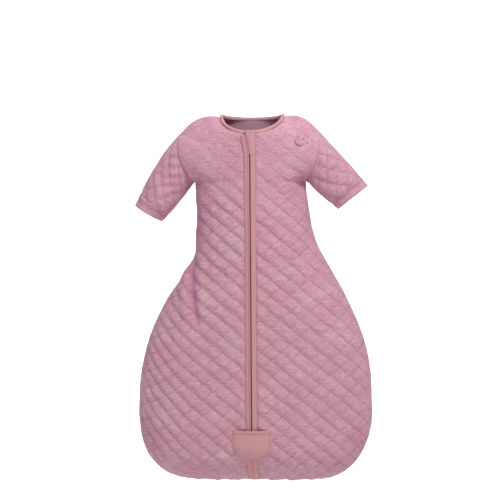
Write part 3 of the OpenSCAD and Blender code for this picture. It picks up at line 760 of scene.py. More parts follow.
def decimated(grid, step):
    """Every step-th row and column of a grid, with its last ones kept."""
    rows = np.unique(np.append(np.arange(0, grid.shape[0], step), grid.shape[0] - 1))
    cols = np.unique(np.append(np.arange(0, grid.shape[1], step), grid.shape[1] - 1))
    return grid[np.ix_(rows, cols)]


def lining_sheet(name, points, s, t):
    """The smooth lining inside a panel, with its face turned to the wearer."""
    inner = points - grid_normals(points) * LINING_DEPTH
    inner, s, t = (decimated(g, 3)[:, ::-1] for g in (inner, s, t))
    creases = 0.5 * MM * layered_noise(s / (20 * MM), t / (14 * MM), 8)
    inner = inner + grid_normals(inner) * creases[..., None]
    return sheet_object(name, inner, s, t, {"fold": 0 * s}, 0.0)


def joined(left, right):
    """Two half panels side by side, as one: their shared middle column is kept once."""
    return np.concatenate([left, right[:, 1:]], axis=1)


def add_panel(name, grids, plain):
    """A quilted panel and its lining, each made as a sheet."""
    piece = sheet_object(name + "_quilt", *grids, QUILT_T)
    dress(piece, QUILT, "bag", "quilted_jersey", name + "_shell", name + "_batting")
    piece = lining_sheet(name + "_lining_cloth", *plain)
    dress(piece, LINING, "bag", "lining_jersey", name + "_lining")


for name, side, seed in (("left_front", 1, 1), ("right_front", -1, 2)):
    add_panel(name, quilt_half(-1, side, PANEL_GAP, seed), half_panel(-1, side, PANEL_GAP))

halves = [quilt_half(1, side, 0, seed) for side, seed in ((1, 3), (-1, 4))]
grids = [joined(a, b) for a, b in zip(halves[0][:3], halves[1][:3])]
grids.append({label: joined(halves[0][3][label], halves[1][3][label]) for label in halves[0][3]})
plain = [joined(a, b) for a, b in zip(half_panel(1, 1, 0), half_panel(1, -1, 0))]
add_panel("back", grids, plain)

# ---------------------------------------------------------------- sleeves
SLEEVE_ROWS = 36
HEM_SHARE = 0.84
HINGE = np.array([80, -54]) * MM
# Each cuff: reach, fall and facing in degrees, half height and half depth
CUFFS = {"left": (112, 41.4, 51, 31, 25), "right": (135, 46.5, 59, 26, 29)}
# How far the top and the underside of each sleeve swell out from a straight line
SWELL = {"left": (0.5, 1.5), "right": (7.0, 2.0)}
SLEEVE_FOLDS = {
    "left": [((112, -44), (108, -70), (104, -98), 4, -2.0),
             ((150, -78), (128, -86), (108, -98), 4, -2.0),
             ((148, -96), (126, -98), (106, -102), 4, -1.8),
             ((134, -60), (122, -74), (114, -94), 5, -1.6),
             ((140, -112), (122, -106), (108, -104), 4.5, -1.6)],
    "right": [((110, -50), (107, -72), (100, -98), 4, -2.4),
              ((140, -62), (126, -60), (111, -62), 3.6, -2.2),
              ((150, -79), (132, -77), (110, -78), 3.8, -2.6),
              ((152, -97), (134, -94), (110, -94), 3.8, -2.8),
              ((150, -112), (134, -108), (112, -106), 3.8, -2.4),
              ((146, -128), (132, -122), (118, -118), 4.5, -1.6)],
}
# How deep a painted shade the underside of each sleeve takes
UNDER_SHADE = {"left": 0.5, "right": 0.2}


def sleeve_surface(name, share, turn):
    """Points of a sleeve: share runs from the armhole to the cuff, turn round it from its top."""
    reach, fall, facing, half_h, half_d = CUFFS[name]
    fall, facing = math.radians(fall), math.radians(facing)
    root = armhole(np.abs(turn))
    root = np.stack([root[..., 0], ARM_HALF_D * np.sin(turn), root[..., 1]], axis=-1)
    middle = np.array([HINGE[0] + reach * MM * math.cos(fall), 0,
                       HINGE[1] - reach * MM * math.sin(fall)])
    up = np.array([math.sin(facing), 0, math.cos(facing)])
    ring = (middle + np.cos(turn)[..., None] * half_h * MM * up
            + np.sin(turn)[..., None] * np.array([0, half_d * MM, 0]))
    straight = root + (ring - root) * share[..., None]
    over, under = SWELL[name]
    bow = 4 * share * (1 - share) * MM * np.where(np.cos(turn) > 0, over, under) * np.abs(np.cos(turn))
    outward = np.sign(np.cos(turn))[..., None] * up
    side_bow = 4 * share * (1 - share) * 2.0 * MM * np.sin(turn)
    return straight + outward * bow[..., None] + side_bow[..., None] * np.array([0, 1, 0])


def sleeve_grid(name, shares):
    turn = np.linspace(-math.pi, math.pi, 2 * ARM_ROWS + 1)
    share, turn = np.meshgrid(shares, turn, indexing="ij")
    points = sleeve_surface(name, share, turn)
    s = arc_lengths(points, 1)
    s = s - s[:, ARM_ROWS:ARM_ROWS + 1]
    fall = math.radians(CUFFS[name][1])
    x, z = points[..., 0] - HINGE[0], points[..., 2] - HINGE[1]
    t = -(x * math.cos(fall) - z * math.sin(fall))
    if name == "right":
        points = (points * np.array([-1, 1, 1]))[:, ::-1]
        s, t = -s[:, ::-1], t[:, ::-1]
    return lean(points), s, t


def sleeve_height(name, points, s, t, to_root, seed):
    """Height of a sleeve's quilting and folds over its plain surface, and the painted shade of its folds
    and underside.
    """
    to_seam = np.abs(s).max(axis=1, keepdims=True) - np.abs(s)
    calm = ease(0, 9 * MM, to_root) * ease(0, 6 * MM, to_seam)
    puff = quilt_height(s, t, SLEEVE_DIAMOND, 0.75)
    facing = 0.25 + 0.75 * np.abs(grid_normals(points)[..., 1]) ** 0.8
    height = 1.8 * MM * puff * (0.3 + 0.7 * calm) + puckers(s, t, seed) * calm * 0.7
    height = height * facing - 0.8 * MM
    x, z = SIDES[name] * points[..., 0], points[..., 2]
    folded = folds_at(x, z, SLEEVE_FOLDS[name]) * ease(6 * MM, -10 * MM, points[..., 1])
    height = np.maximum(height + folded, -DEEPEST) * ease(0, 8 * MM, to_root)
    # How strong the painted shade in the stitch grooves is, weaker near the seams and the armhole
    strength = (0.25 + 0.75 * calm) * 0.9
    # painted shade: the underside by the seam and the sleeve's folds are darkened
    under = UNDER_SHADE[name] * ease(28 * MM, 3 * MM, to_seam)
    stitch = np.stack([*stitch_place(s, t, SLEEVE_DIAMOND), strength], axis=-1)
    return height, calm, {"stitch": stitch, "fold": 0.8 * np.clip(-folded / (5 * MM), 0, 1) + under}


def build_sleeve(name, seed):
    shares = np.linspace(-0.012, HEM_SHARE + 0.02, SLEEVE_ROWS + 1)
    plain, s, t = sleeve_grid(name, shares)
    to_root = np.broadcast_to(arc_lengths(plain, 0).mean(axis=1, keepdims=True), s.shape)
    points, s_new, on_first, on_second = snap_to_stitches(plain, s, t, SLEEVE_DIAMOND)
    height, calm, values = sleeve_height(name, points, s_new, t, to_root, seed)
    height -= 0.9 * MM * ease(6 * MM, 0, to_root.max() - to_root)
    hold = stitch_hold(on_first, on_second)
    hold[(calm < 0.5) | (to_root > to_root.max() - 5 * MM)] = 1.0
    out = grid_normals(points)
    moved = swell_cloth(points + out * height[..., None], hold, 0.7 * np.abs(out[..., 1]))
    piece = sheet_object(name + "_sleeve_quilt", moved, s_new, t, values, QUILT_T)
    dress(piece, QUILT, None, "quilted_jersey", name + "_sleeve_shell", name + "_sleeve_batting")
    lining = lining_sheet(name + "_sleeve_lining_cloth", plain, s, t)
    dress(lining, LINING, None, "lining_jersey", name + "_sleeve_lining")
    for cloth in (piece, lining):
        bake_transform(cloth)


# The share of its pitch that a stitch covers, and the radius of the trims' sewing thread
STITCH_SHARE = 0.62
THREAD_R = 0.24 * MM


def thread_object(name, strands, radius):
    """Tubes of thread: each strand has its centres, the outward direction at each, the share of the
    radius at each and the distance along it at each."""
    sides = 6
    turn = np.arange(sides) * 2 * math.pi / sides
    verts, faces, uvs = [], [], []
    for centre, lift, widths, run in strands:
        across = unit_rows(np.cross(lift, unit_rows(centre[-1] - centre[0])))
        ring = np.cos(turn)[:, None] * across[:, None] + np.sin(turn)[:, None] * lift[:, None]
        faces.append(grid_faces(len(centre), sides, ring=True) + len(verts) * len(centre) * sides)
        verts.append((centre[:, None] + ring * (widths * radius)[:, None, None]).reshape(-1, 3))
        uvs.append(np.stack([np.repeat(run, sides), np.tile(turn * radius, len(centre))], axis=1))
    return add_object(name, np.concatenate(verts), np.concatenate(faces), np.concatenate(uvs))


def stitch_path(path, out, name, pitch, radius=THREAD_R, body="bag", material=TRIM_THREAD,
                slot="trim_binding"):
    """A row of thread stitches along a path, each a small capsule that dips in at its ends."""
    run = line_run(path)
    out = np.broadcast_to(out, path.shape)
    count = max(int(run[-1] / pitch), 1)
    stations = np.array([-0.5, -0.36, 0.0, 0.36, 0.5])
    widths = np.array([0.35, 0.9, 1.0, 0.9, 0.35])
    lifts = np.array([-0.7, 0.15, 0.35, 0.15, -0.7])
    strands = []
    for k in range(count):
        at = (k + 0.5) * run[-1] / count + stations * pitch * STITCH_SHARE
        centre = np.stack([np.interp(at, run, path[:, c]) for c in range(3)], axis=1)
        lift = unit_rows(np.stack([np.interp(at, run, out[:, c]) for c in range(3)], axis=1))
        strands.append((centre + lift * lifts[:, None] * radius, lift, widths, at))
    return dress(thread_object(name, strands, radius), material, body, slot)


CUFF_ROWS = 21
# Thickness of the folded hem in millimetres
CUFF_T = 4.6
# The two rows of stitches, by how far they stand from the cuff's edge
CUFF_STITCHES = {"outer": 11 * MM, "inner": 15 * MM}


def build_cuff(name, seed):
    """The cuff's hem: quilted cloth folded to the inside, held by two rows of stitches."""
    points, s, t = sleeve_grid(name, np.linspace(HEM_SHARE, 1, CUFF_ROWS))
    points, s, _, _ = snap_to_stitches(points, s, t, SLEEVE_DIAMOND)
    out = grid_normals(points)
    span = arc_lengths(points, 0)
    away = span[-1:] - span
    height, _, values = sleeve_height(name, points, s, t, 0 * s + 30 * MM, seed)
    ribs = sum(near(away - place, 1.1 * MM) for place in CUFF_STITCHES.values())
    settle = ease(0, 16 * MM, away)
    height = height * (0.35 + 0.5 * settle) + 0.3 * MM - 1.3 * MM * ribs * ease(0, 4 * MM, span)
    height = height - 1.2 * MM * ease(3 * MM, 0, span)
    down = unit_rows(np.gradient(points, axis=0))
    # Rows go along the outside, round the edge and back inside: row, depth, reach past the edge
    last = CUFF_ROWS - 1
    rows = [(k, 0, 0) for k in range(CUFF_ROWS)] + [(last, 1.2, 0.9), (last, 3.4, 0.9)]
    rows += [(k, CUFF_T, 0) for k in (last, 14, 8, 2)]
    grid, lines, shades = [], [], []
    for k, depth, reach in rows:
        lift = height[k] if depth == 0 else height[-1] * (1 - depth / CUFF_T)
        grid.append(points[k] + out[k] * (lift - depth * MM)[:, None] + down[k] * reach * MM)
        # painted shade in the stitch grooves: half as strong on the cuff's outside, none on its inside
        lines.append(values["stitch"][k] * np.array([1, 1, 0.5 if depth == 0 else 0.0]))
        # painted shade: the cuff's outside is darkened along its two rows of stitches
        shades.append(np.clip(0.7 * ribs[k], 0, 1) if depth == 0 else 0 * s[k])
    index = [k for k, _, _ in rows]
    run = np.array([t[k] - depth * MM for k, depth, _ in rows])
    values = {"stitch": np.array(lines), "fold": np.array(shades)}
    piece = sheet_object(name + "_cuff_hem_cloth", np.array(grid), s[index], run, values, 0.0)
    dress(piece, QUILT, name + "_sleeve", "quilted_jersey", name + "_cuff_hem")
    surface = points + out * height[..., None]
    for label, wanted in CUFF_STITCHES.items():
        path, lift = (np.array([[np.interp(-wanted, -away[:, j], field[:, j, c]) for c in range(3)]
                                for j in range(s.shape[1])]) for field in (surface, out))
        stitch_path(path + lift * 0.6 * MM, unit_rows(lift), f"{name}_cuff_{label}_stitches",
                    3.2 * MM, 0.34 * MM, name + "_sleeve", QUILT_THREAD, "quilted_jersey")


for name, seed in (("left", 5), ("right", 6)):
    build_sleeve(name, seed)
    build_cuff(name, seed)

# ---------------------------------------------------------------- bands: placket, binding, guards


def band(name, node, path, out, sideways, profile, crease_shade=0.0, material=TRIM, slot="trim_binding"):
    """A solid band of the bag, swept along a path, that stands for a CAD node. Out and sideways are
    directions, and profile has (sideways, outward) pairs that go round the band; each is for the
    whole path or for each point of it."""
    out, sideways = (np.broadcast_to(v, path.shape) for v in (out, sideways))
    profile = np.broadcast_to(profile, (len(path), *np.shape(profile)[-2:]))
    points = path[:, None] + sideways[:, None] * profile[..., :1] + out[:, None] * profile[..., 1:]
    rows, cols = points.shape[:2]
    steps = np.linalg.norm(np.diff(profile, axis=1), axis=-1)
    round_it = np.pad(np.cumsum(steps, axis=1), ((0, 0), (1, 0)))
    along = np.broadcast_to(-line_run(path)[:, None], round_it.shape)
    uv = np.stack([round_it, along], axis=-1).reshape(-1, 2)
    faces = grid_faces(rows, cols, ring=True).tolist()
    faces += [list(range(cols)), list(range((rows - 1) * cols, rows * cols))[::-1]]
    # painted shade: the band is darkened by this amount at each point round it
    fold = np.broadcast_to(crease_shade, (rows, cols))
    piece = add_object(name, points.reshape(-1, 3), faces, uv, {"fold": fold})
    dress(piece, material, "bag", slot, node)


def soft_profile(left, right, back, front, crown=0.0, count=9):
    """A rounded band: left and right are its edges, back and front its faces, outwards positive."""
    r, middle = (front - back) / 2, (front + back) / 2
    across = np.linspace(0, 1, count)
    span = right - left - 1.2 * r
    top = [(left + r * 0.6 + span * a, front + crown * math.sin(math.pi * a)) for a in across]
    end = [(right - 0.15 * r, middle + 0.5 * r), (right, middle), (right - 0.15 * r, middle - 0.5 * r)]
    base = [(right - r * 0.6 - span * a, back) for a in across[::3]]
    start = [(left + 0.15 * r, middle - 0.5 * r), (left, middle), (left + 0.15 * r, middle + 0.5 * r)]
    return np.array(top + end + base + start)


def zip_path(top, foot, count):
    """Points down the zip line, and how far down it they are."""
    drop = np.linspace(top, foot, count)
    return ZIP_TOP + drop[:, None] * ZIP_DOWN, drop


def waver(place, size, seed):
    """The slow unevenness of a sewn edge, along its length."""
    return size * layered_noise(place / (34 * MM), place * 0 + seed, seed, 2)


def guard_reach(drop):
    """How far the chin guard reaches past the slit, over the wearer's right strip."""
    return 7.2 * MM * np.clip(1 - drop / (CHIN_LEN + 4 * MM), 0, 1) ** 1.3


def build_plackets():
    path, drop = zip_path(7 * MM, ZIP_LEN, 240)
    flat = soft_profile(0, 1, -0.9 * MM, 0.6 * MM, 0.15 * MM, 13)
    width = PLACKET_OUTER - SLIT_HALF
    for name, side in SIDES.items():
        inner = SLIT_HALF - 0.2 * MM + waver(drop, 0.15 * MM, 41 + side)
        shift, valley, tone = 0 * drop, 0 * flat[:, 0], 0
        lift = waver(drop, 0.12 * MM, 51 + side)
        if side < 0:
            # The wearer's right strip is pushed aside by the chin guard at its top
            shift = guard_reach(drop)
            lift = lift + 1.4 * MM * ease(60 * MM, 12 * MM, drop)
            # a fold line down the wearer's right strip, sunk into its shape and darkened with painted
            # shade; the whole strip is also painted a shade darker
            valley = near(flat[:, 0] - 0.30, 0.07) * (flat[:, 1] > 0)
            tone = 0.22
        across = inner[:, None] + shift[:, None] + flat[None, :, 0] * width
        depth = flat[None, :, 1] + lift[:, None] * (flat[None, :, 1] > 0)
        depth = depth - 0.8 * MM * valley[None]
        profile = np.stack([side * across, depth], axis=-1)
        if side < 0:
            profile, valley = profile[:, ::-1], valley[::-1]
        band(name + "_placket_strip", name + "_placket", path, ZIP_OUT, SIDEWAYS, profile,
             0.7 * valley + tone)
        row = path + side * (inner + shift + width * 0.9)[:, None] * SIDEWAYS
        row = row + ZIP_OUT * (0.65 * MM + lift)[:, None]
        stitch_path(row[:-4], ZIP_OUT, name + "_placket_stitches", 3.4 * MM)


def chin_guard():
    path, drop = zip_path(-0.5 * MM, CHIN_LEN + 1.5 * MM, 30)
    share = np.linspace(0, 1, len(drop))
    left = -SLIT_HALF - guard_reach(drop) + 0.4 * MM
    right = np.full_like(left, PLACKET_OUTER)
    unit = soft_profile(0, 1, 0.0, 1.0, 0.0, 11)
    thick = 1.2 * MM * (1 - ease(0.6, 1.0, share)) + 0.25 * MM
    base = 0.25 * MM + 0.9 * MM * (1 - share)
    swell = 0.5 * MM * np.sin(math.pi * unit[:, 0]) * (unit[:, 1] > 0.9)
    across = left[:, None] + (right - left)[:, None] * unit[None, :, 0]
    depth = base[:, None] + thick[:, None] * unit[None, :, 1] + swell[None]
    profile = np.stack([across, depth], axis=-1)
    band("chin_guard_tab", "chin_guard", path, ZIP_OUT, SIDEWAYS, profile)
    edge = path + (left + 2.2 * MM)[:, None] * SIDEWAYS + ZIP_OUT * (base + thick + 0.15 * MM)[:, None]
    stitch_path(edge[1:-6], ZIP_OUT, "chin_guard_stitches", 3.2 * MM)


def neck_point(turn, inset, drop):
    """A point of the neckline: turn runs round it from the front."""
    reach = np.where(np.cos(turn) > 0, NECK_FRONT, NECK_BACK)
    end_z = np.where(np.cos(turn) > 0, -NECK_DROP, NECK_NAPE_Z)
    return np.stack([(NECK_HALF - inset) * np.sin(turn), -(reach - inset) * np.cos(turn),
                     NECK_SIDE_Z - (NECK_SIDE_Z - end_z) * np.abs(np.cos(turn)) - drop], axis=-1)


def neck_binding():
    start = math.asin(PLACKET_OUTER * 0.55 / NECK_HALF)
    turn = np.linspace(start, 2 * math.pi - start, 180)
    path = neck_point(turn, 1.8 * MM, 3.3 * MM)
    out = unit_rows(neck_point(turn, 0, 0) - neck_point(turn, 10 * MM, 0))
    up = np.array([0, 0, 1.0])
    run = line_run(path)
    angle = np.linspace(0, 2 * math.pi, 15)[:-1]
    tall, thick = 3.3 * MM, 2.7 * MM
    gather = 1 + 0.05 * layered_noise(run / (7 * MM), run * 0 + 3, 61, 2)
    profile = np.stack([np.outer(gather, -tall * squared(np.cos(angle), 0.7)),
                        np.outer(gather, thick * squared(np.sin(angle), 0.7))], axis=-1)
    band("neck_roll", "neck_binding", path, out, up, profile)
    stitch_path(path - up * 2.0 * MM + out * 2.55 * MM, out, "neck_stitches", 3.2 * MM)


def front_face(x, z):
    """Depth of the front's outer face at a point of the lower bag."""
    side = np.clip((np.abs(x) - PANEL_GAP) / (side_half(z, 1) - PANEL_GAP), 0, 1)
    return middle_depth(z, -1) * np.sqrt(1 - side**2) ** 0.92


def lower_strip():
    turn = np.linspace(-0.10, math.pi / 2, 40)
    z = np.where(turn < 0, HEM_TOP - HEM_ROUND * turn, HEM_TOP - HEM_ROUND * np.sin(turn))
    path = np.stack([0 * z, -np.maximum(middle_depth(z, -1), 0.3 * MM), z], axis=1)
    out = unit_rows(np.cross(unit_rows(np.gradient(path, axis=0)), SIDEWAYS))
    profile = soft_profile(-PLACKET_OUTER, PLACKET_OUTER, -2.4 * MM, 0.9 * MM, 0.5 * MM, 13)
    row = 7.6 * MM
    place = profile[:, 0]
    # painted shade: a dark line down the strip's middle, where its shape has no groove, and along its
    # two rows of stitches
    shade = 0.55 * (near(place, 2.6 * MM) + 0.5 * near(np.abs(place) - row, 1.0 * MM))
    band("lower_placket_strip", "lower_placket", path, out, SIDEWAYS, profile, shade)
    path, out = path[:-5], out[:-5]
    for label, side in SIDES.items():
        stitch_path(path + side * row * SIDEWAYS + out * 1.0 * MM, out, f"lower_strip_{label}_stitches",
                    3.4 * MM)


# The pocket's mouth stands a little above its CAD node's, where the rolled hem rises
MOUTH_RISE = 4.5 * MM
MOUTH_Z, GARAGE_RUN = GARAGE_TOP + MOUTH_RISE, GARAGE_H + MOUTH_RISE
# How far in from the pocket's edge and from its mouth its rows of stitches run
EDGE_ROW, MOUTH_ROW = 3.6 * MM, 6 * MM


def garage():
    rows, cols = 36, 49
    share = np.linspace(0, 1, rows)[:, None] ** 0.9
    across = np.sin(np.linspace(-1, 1, cols) * math.pi / 2)[None, :]
    dip = 1.2 * MM * (1 - across**2) * (1 - share)
    x = across * garage_half(share)
    z = MOUTH_Z - GARAGE_RUN * share - dip
    turn = np.clip((share - GARAGE_CORNER) / (1 - GARAGE_CORNER), 0, 1)
    dome = (1 - across**2) ** (1.7 - 0.95 * ease(0, 0.5, share)) * (1 - turn**2)
    to_side, to_foot = (1 - np.abs(across)) * garage_half(share), (1 - share) * GARAGE_RUN
    rim = near(to_side, 1.2 * MM) + near(to_foot, 1.5 * MM)
    lip = near((share * GARAGE_RUN) - 1.5 * MM, 2.0 * MM)
    groove = near(np.minimum(to_side, to_foot) - EDGE_ROW, 0.9 * MM)
    groove = groove + near(share * GARAGE_RUN - MOUTH_ROW, 0.8 * MM)
    depth = 1.1 * MM + 6.0 * MM * dome + 0.5 * MM * lip - 0.9 * MM * np.clip(rim, 0, 1)
    depth = depth - 0.35 * MM * groove
    depth = depth + 0.35 * MM * layered_noise(x / (14 * MM), z / (10 * MM), 71)
    wrinkles = np.clip(layered_noise(x / (22 * MM), z / (13 * MM), 74), -0.1, 1)
    depth = depth + 1.1 * MM * dome * wrinkles
    points = np.stack([x, -front_face(x, z) - depth, z], axis=-1)
    # painted shade: the pocket is darkened along its stitch grooves
    values = {"fold": np.clip(0.45 * groove, 0, 1)}
    piece = sheet_object("zipper_garage_pocket", points, x, z, values, 1.5 * MM)
    dress(piece, TRIM, "bag", "trim_binding", "zipper_garage")
    out = grid_normals(points)
    inner = 1 - EDGE_ROW / GARAGE_RUN
    # Down one side, round the foot and up the other side, then along the mouth
    round_foot = np.sin(np.linspace(0, math.pi / 2, 24))
    drop = np.concatenate([np.linspace(0.14, GARAGE_CORNER, 12)[:-1],
                           GARAGE_CORNER + (inner - GARAGE_CORNER) * round_foot])
    half = np.sqrt(np.clip(1 - ((drop - GARAGE_CORNER).clip(0) / (inner - GARAGE_CORNER)) ** 2, 0, 1))
    half = half * (GARAGE_HALF - EDGE_ROW)
    edge_x = np.concatenate([-half, half[::-1][1:]])
    edge_share = np.concatenate([drop, drop[::-1][1:]])
    mouth_x = np.linspace(-1, 1, 90) * (GARAGE_HALF - 4.5 * MM)
    mouth_share = np.full_like(mouth_x, MOUTH_ROW / GARAGE_RUN)
    for label, row_x, row_share in (("edge", edge_x, edge_share), ("mouth", mouth_x, mouth_share)):
        want = np.stack([row_x, MOUTH_Z - GARAGE_RUN * row_share], axis=1)
        row, lift = on_surface(points, out, want)
        stitch_path(row + lift * 0.1 * MM, lift, f"garage_{label}_stitches", 3.2 * MM, 0.26 * MM)


for build in (build_plackets, chin_guard, neck_binding, lower_strip, garage):
    build()

# ---------------------------------------------------------------- zip
COIL_DEPTH, COIL_T = 2.2 * MM, 1.6 * MM
TAPE_DEPTH, TAPE_T, TAPE_INNER = 3.0 * MM, 0.5 * MM, 3.05 * MM
# The flap behind the zip: half width, and the depths of its two faces behind the zip line
FLAP_HALF, FLAP_BACK, FLAP_FRONT = 14 * MM, 8.2 * MM, 7.2 * MM


def zip_tapes():
    """A woven tape behind each placket strip, from the coil to the seam."""
    path, _ = zip_path(6.5 * MM, ZIP_LEN, 120)
    for name, side in SIDES.items():
        profile = soft_profile(TAPE_INNER, PLACKET_OUTER - 0.2 * MM, -TAPE_DEPTH - TAPE_T / 2,
                               -TAPE_DEPTH + TAPE_T / 2)
        if side < 0:
            profile = (profile * np.array([-1, 1]))[::-1]
        band(name + "_tape_weave", name + "_zipper_tape", path, ZIP_OUT, SIDEWAYS, profile,
             material=TAPE, slot="zipper_tape")


def zip_coils():
    """Each coil is a row of small rounded loops, half a pitch out of step with the other."""
    pitch, wire, reach = 1.5 * MM, 0.26 * MM, 1.75 * MM
    foot, top = (corner.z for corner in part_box("left_coil"))
    first, last = -NECK_DROP - top, -NECK_DROP - foot
    loop = (np.arange(12) * math.pi / 6)[:, None]
    wall = (np.arange(3) * 2 * math.pi / 3)[:, None]
    i, j = np.meshgrid(np.arange(12), np.arange(3), indexing="ij")
    ahead, over = (i + 1) % 12, (j + 1) % 3
    quads = np.stack([3 * i + j, 3 * i + over, 3 * ahead + over, 3 * ahead + j], axis=-1)
    for name, side in SIDES.items():
        places = np.arange(first + pitch, last - pitch, pitch) + (0.5 * pitch if side > 0 else 0)
        arm = side * SIDEWAYS * squared(np.cos(loop), 0.75) * 1.0 * MM
        arm = arm + ZIP_OUT * squared(np.sin(loop), 0.75) * 0.5 * MM
        ring = unit_rows(arm)[:, None] * np.cos(wall) + ZIP_DOWN * np.sin(wall)
        ring = side * reach * SIDEWAYS + arm[:, None] + ring * wire
        core = ZIP_TOP + ZIP_DOWN * places[:, None] - ZIP_OUT * (COIL_DEPTH + COIL_T / 2)
        verts = core[:, None, None] + ring
        faces = quads.reshape(1, -1, 4) + 36 * np.arange(len(places))[:, None, None]
        piece = add_object(name + "_coil_teeth", verts.reshape(-1, 3), faces.reshape(-1, 4))
        dress(piece, COIL, "bag", "zipper_coil", name + "_coil")


def inner_guard():
    path, drop = zip_path(13 * MM, ZIP_LEN, 90)
    unit = soft_profile(-FLAP_HALF, FLAP_HALF, -FLAP_BACK, -FLAP_FRONT, 0.0, 13)
    wave = 0.3 * MM * layered_noise(drop[:, None] / (30 * MM), unit[None, :, 0] / (9 * MM), 81)
    profile = np.stack([np.broadcast_to(unit[None, :, 0], wave.shape), unit[None, :, 1] + wave], axis=-1)
    band("inner_guard_cloth", "inner_zip_guard", path, ZIP_OUT, SIDEWAYS, profile,
         material=LINING, slot="lining_jersey")


def bevelled_copy(node, name, body, width):
    """A copy of a CAD node with softened edges, which stands for it."""
    source = bpy.data.objects[node]
    piece = link_object(name, source.data.copy())
    piece.matrix_world = source.matrix_world
    piece.modifiers.new("weld", "WELD").merge_threshold = 1e-6
    bevel = piece.modifiers.new("soft", "BEVEL")
    bevel.width, bevel.segments = width, 2
    bevel.limit_method, bevel.angle_limit = "ANGLE", math.radians(35)
    applied(piece)
    dress(piece, METAL, body, "zipper_metal", node)
    piece.data.shade_smooth()


zip_tapes()
zip_coils()
inner_guard()
bevelled_copy("slider_body", "zip_slider", "slider", 0.18 * MM)
bevelled_copy("pull_tab", "zip_pull", "pull", 0.2 * MM)
for stop in ("zipper_top_stop", "zipper_foot_box"):
    for slot in bpy.data.objects[stop].material_slots:
        slot.material = COIL

# ---------------------------------------------------------------- chest motif
MOTIF = np.array([80, -36]) * MM


def star_outline(x, z, reach):
    turn = np.arange(10) * math.pi / 5
    r = np.where(np.arange(10) % 2 == 0, reach, 0.45 * reach)
    return np.stack([x + r * np.sin(turn), z + r * np.cos(turn)], axis=1)


def crescent_outline(r, bite, bite_r):
    turn = np.linspace(0, 2 * math.pi, 120, endpoint=False)
    outer = r * np.stack([np.cos(turn), np.sin(turn)], axis=1)
    keep = np.linalg.norm(outer - bite, axis=1) >= bite_r
    start = np.flatnonzero(keep & ~np.roll(keep, 1))[0]
    outer = np.roll(outer, -start, axis=0)[: keep.sum()]
    a0, a1 = (math.atan2(*(p - bite)[::-1]) for p in (outer[-1], outer[0]))
    inner_turn = a0 + np.linspace(0, 1, 40) * ((a1 - a0) % (2 * math.pi) - 2 * math.pi)
    inner = bite + bite_r * np.stack([np.cos(inner_turn), np.sin(inner_turn)], axis=1)
    return np.concatenate([outer, inner])


def satin_spans(outline, pitch):
    """Thread spans that fill a closed outline, from low to high."""
    spans = []
    for z in np.arange(outline[:, 1].min() + pitch / 2, outline[:, 1].max(), pitch):
        a, b = outline, np.roll(outline, -1, axis=0)
        cross = (a[:, 1] > z) != (b[:, 1] > z)
        low, run = a[cross], b[cross] - a[cross]
        x = np.sort(low[:, 0] + (z - low[:, 1]) * run[:, 0] / run[:, 1])
        spans += [((x0, z), (x1, z)) for x0, x1 in zip(x[::2], x[1::2]) if x1 - x0 > 0.3 * MM]
    return spans


def motif():
    surface = half_panel(-1, 1, PANEL_GAP)[0][:SEAM_ROWS + ARM_ROWS]
    lifts = grid_normals(surface)
    shapes = [crescent_outline(8 * MM, np.array([3.8, 1.6]) * MM, 6.6 * MM),
              star_outline(6.2 * MM, 2.4 * MM, 3.2 * MM), star_outline(12.5 * MM, -3 * MM, 2.5 * MM),
              star_outline(13 * MM, 5.5 * MM, 1.9 * MM)]
    stations = np.linspace(0, 1, 7)
    bow = np.sin(math.pi * stations) ** 0.5
    strands = []
    for outline in shapes:
        for start, end in satin_spans(outline, 0.55 * MM):
            flat = np.array(start) + np.outer(stations, np.array(end) - np.array(start)) + MOTIF
            centre, lift = on_surface(surface, lifts, flat)
            centre = centre + lift * (1.3 * MM + 0.3 * MM * bow)[:, None]
            run = np.linalg.norm(centre - centre[0], axis=1)
            strands.append((centre, lift, 0.4 + 0.6 * bow, run))
    piece = thread_object("crescent_embroidery", strands, 0.34 * MM)
    dress(piece, SATIN, "bag", "embroidery", "chest_motif")


motif()

# ---------------------------------------------------------------- stage, light and camera
FLOOR_Z = HEM_Z - 330 * MM


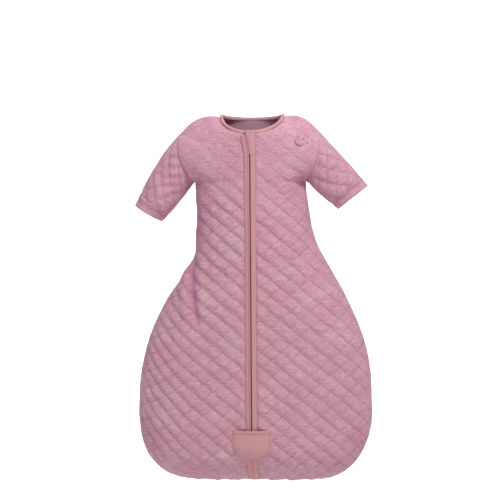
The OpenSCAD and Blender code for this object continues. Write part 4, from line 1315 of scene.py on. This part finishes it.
def make_stage():
    """A pale floor that sweeps up behind the object."""
    bend = np.linspace(0, math.pi / 2, 16)[1:]
    profile = [(y, FLOOR_Z) for y in (-24, -12, *np.linspace(-4, 3.0, 60))]
    profile += [(3.0 + math.sin(a), FLOOR_Z + 1 - math.cos(a)) for a in bend]
    profile += [(4.0, FLOOR_Z + 2), (4.0, FLOOR_Z + 4)]
    wide = (-24, -12, *np.linspace(-6, 6, 13), 12, 24)
    points = np.array([[(x, y, z) for x in wide] for y, z in profile])
    floor = add_object("floor", points.reshape(-1, 3), grid_faces(*points.shape[:2])[:, ::-1])
    material, tree, shader = new_material("floor_paper", Roughness=0.9)
    tone = ramp(tree, surface_noise(tree, 3), [(0.3, (0.90, 0.90, 0.90)), (0.7, (0.94, 0.94, 0.94))])
    tree.links.new(tone, shader.inputs["Base Color"])
    floor.data.materials.append(material)


def add_area(name, place, target, size, power):
    """A round area light that faces its target: size in metres, power in watts."""
    data = bpy.data.lights.new(name, "AREA")
    data.shape, data.size, data.energy = "DISK", size, power
    lamp = link_object(name, data)
    lamp.location = place
    lamp.rotation_euler = (Vector(target) - Vector(place)).to_track_quat("-Z", "Y").to_euler()


def make_camera():
    """The camera stands a little to the wearer's left, looking slightly down, with a slight roll."""
    data = bpy.data.cameras.new("camera")
    distance, seen_width = 3.2, 0.82
    data.sensor_width = 36
    data.lens = 18 / (seen_width / 2 / distance)
    camera = link_object("camera", data)
    aim = Vector((-0.0059, 0, -0.2135))
    azimuth, tilt, roll = math.radians(5.5), math.radians(2), math.radians(-0.5)
    toward = Vector((math.sin(azimuth), -math.cos(azimuth), math.tan(tilt))) * math.cos(tilt)
    camera.location = aim + distance * toward
    turn = (-toward).to_track_quat("-Z", "Y").to_matrix().to_4x4()
    turn = turn @ turn.Rotation(roll, 4, "Z")
    camera.rotation_euler = turn.to_euler()
    bpy.context.scene.camera = camera


make_stage()
MIDDLE = (0, 0, -0.3)
add_area("key_light", (0.70, -1.10, 1.25), (0, 0, -0.15), 0.45, 23)
add_area("fill_light", (-2.0, -2.2, 0.2), MIDDLE, 1.6, 5)
add_area("top_light", (0, 0.6, 2.4), MIDDLE, 1.6, 14)
add_area("backdrop_light", (0, 1.4, 1.6), (0, 4.0, 0.2), 2.0, 130)
add_area("forecourt_light", (0, -3.4, 2.6), (0, -4.2, -0.9), 2.4, 30)
world = bpy.data.worlds.new("studio")
world.use_nodes = True
world.node_tree.nodes["Background"].inputs[0].default_value = (1, 1, 1, 1)
world.node_tree.nodes["Background"].inputs[1].default_value = 0.40
bpy.context.scene.world = world
bpy.context.scene.view_settings.view_transform = "Standard"
make_camera()
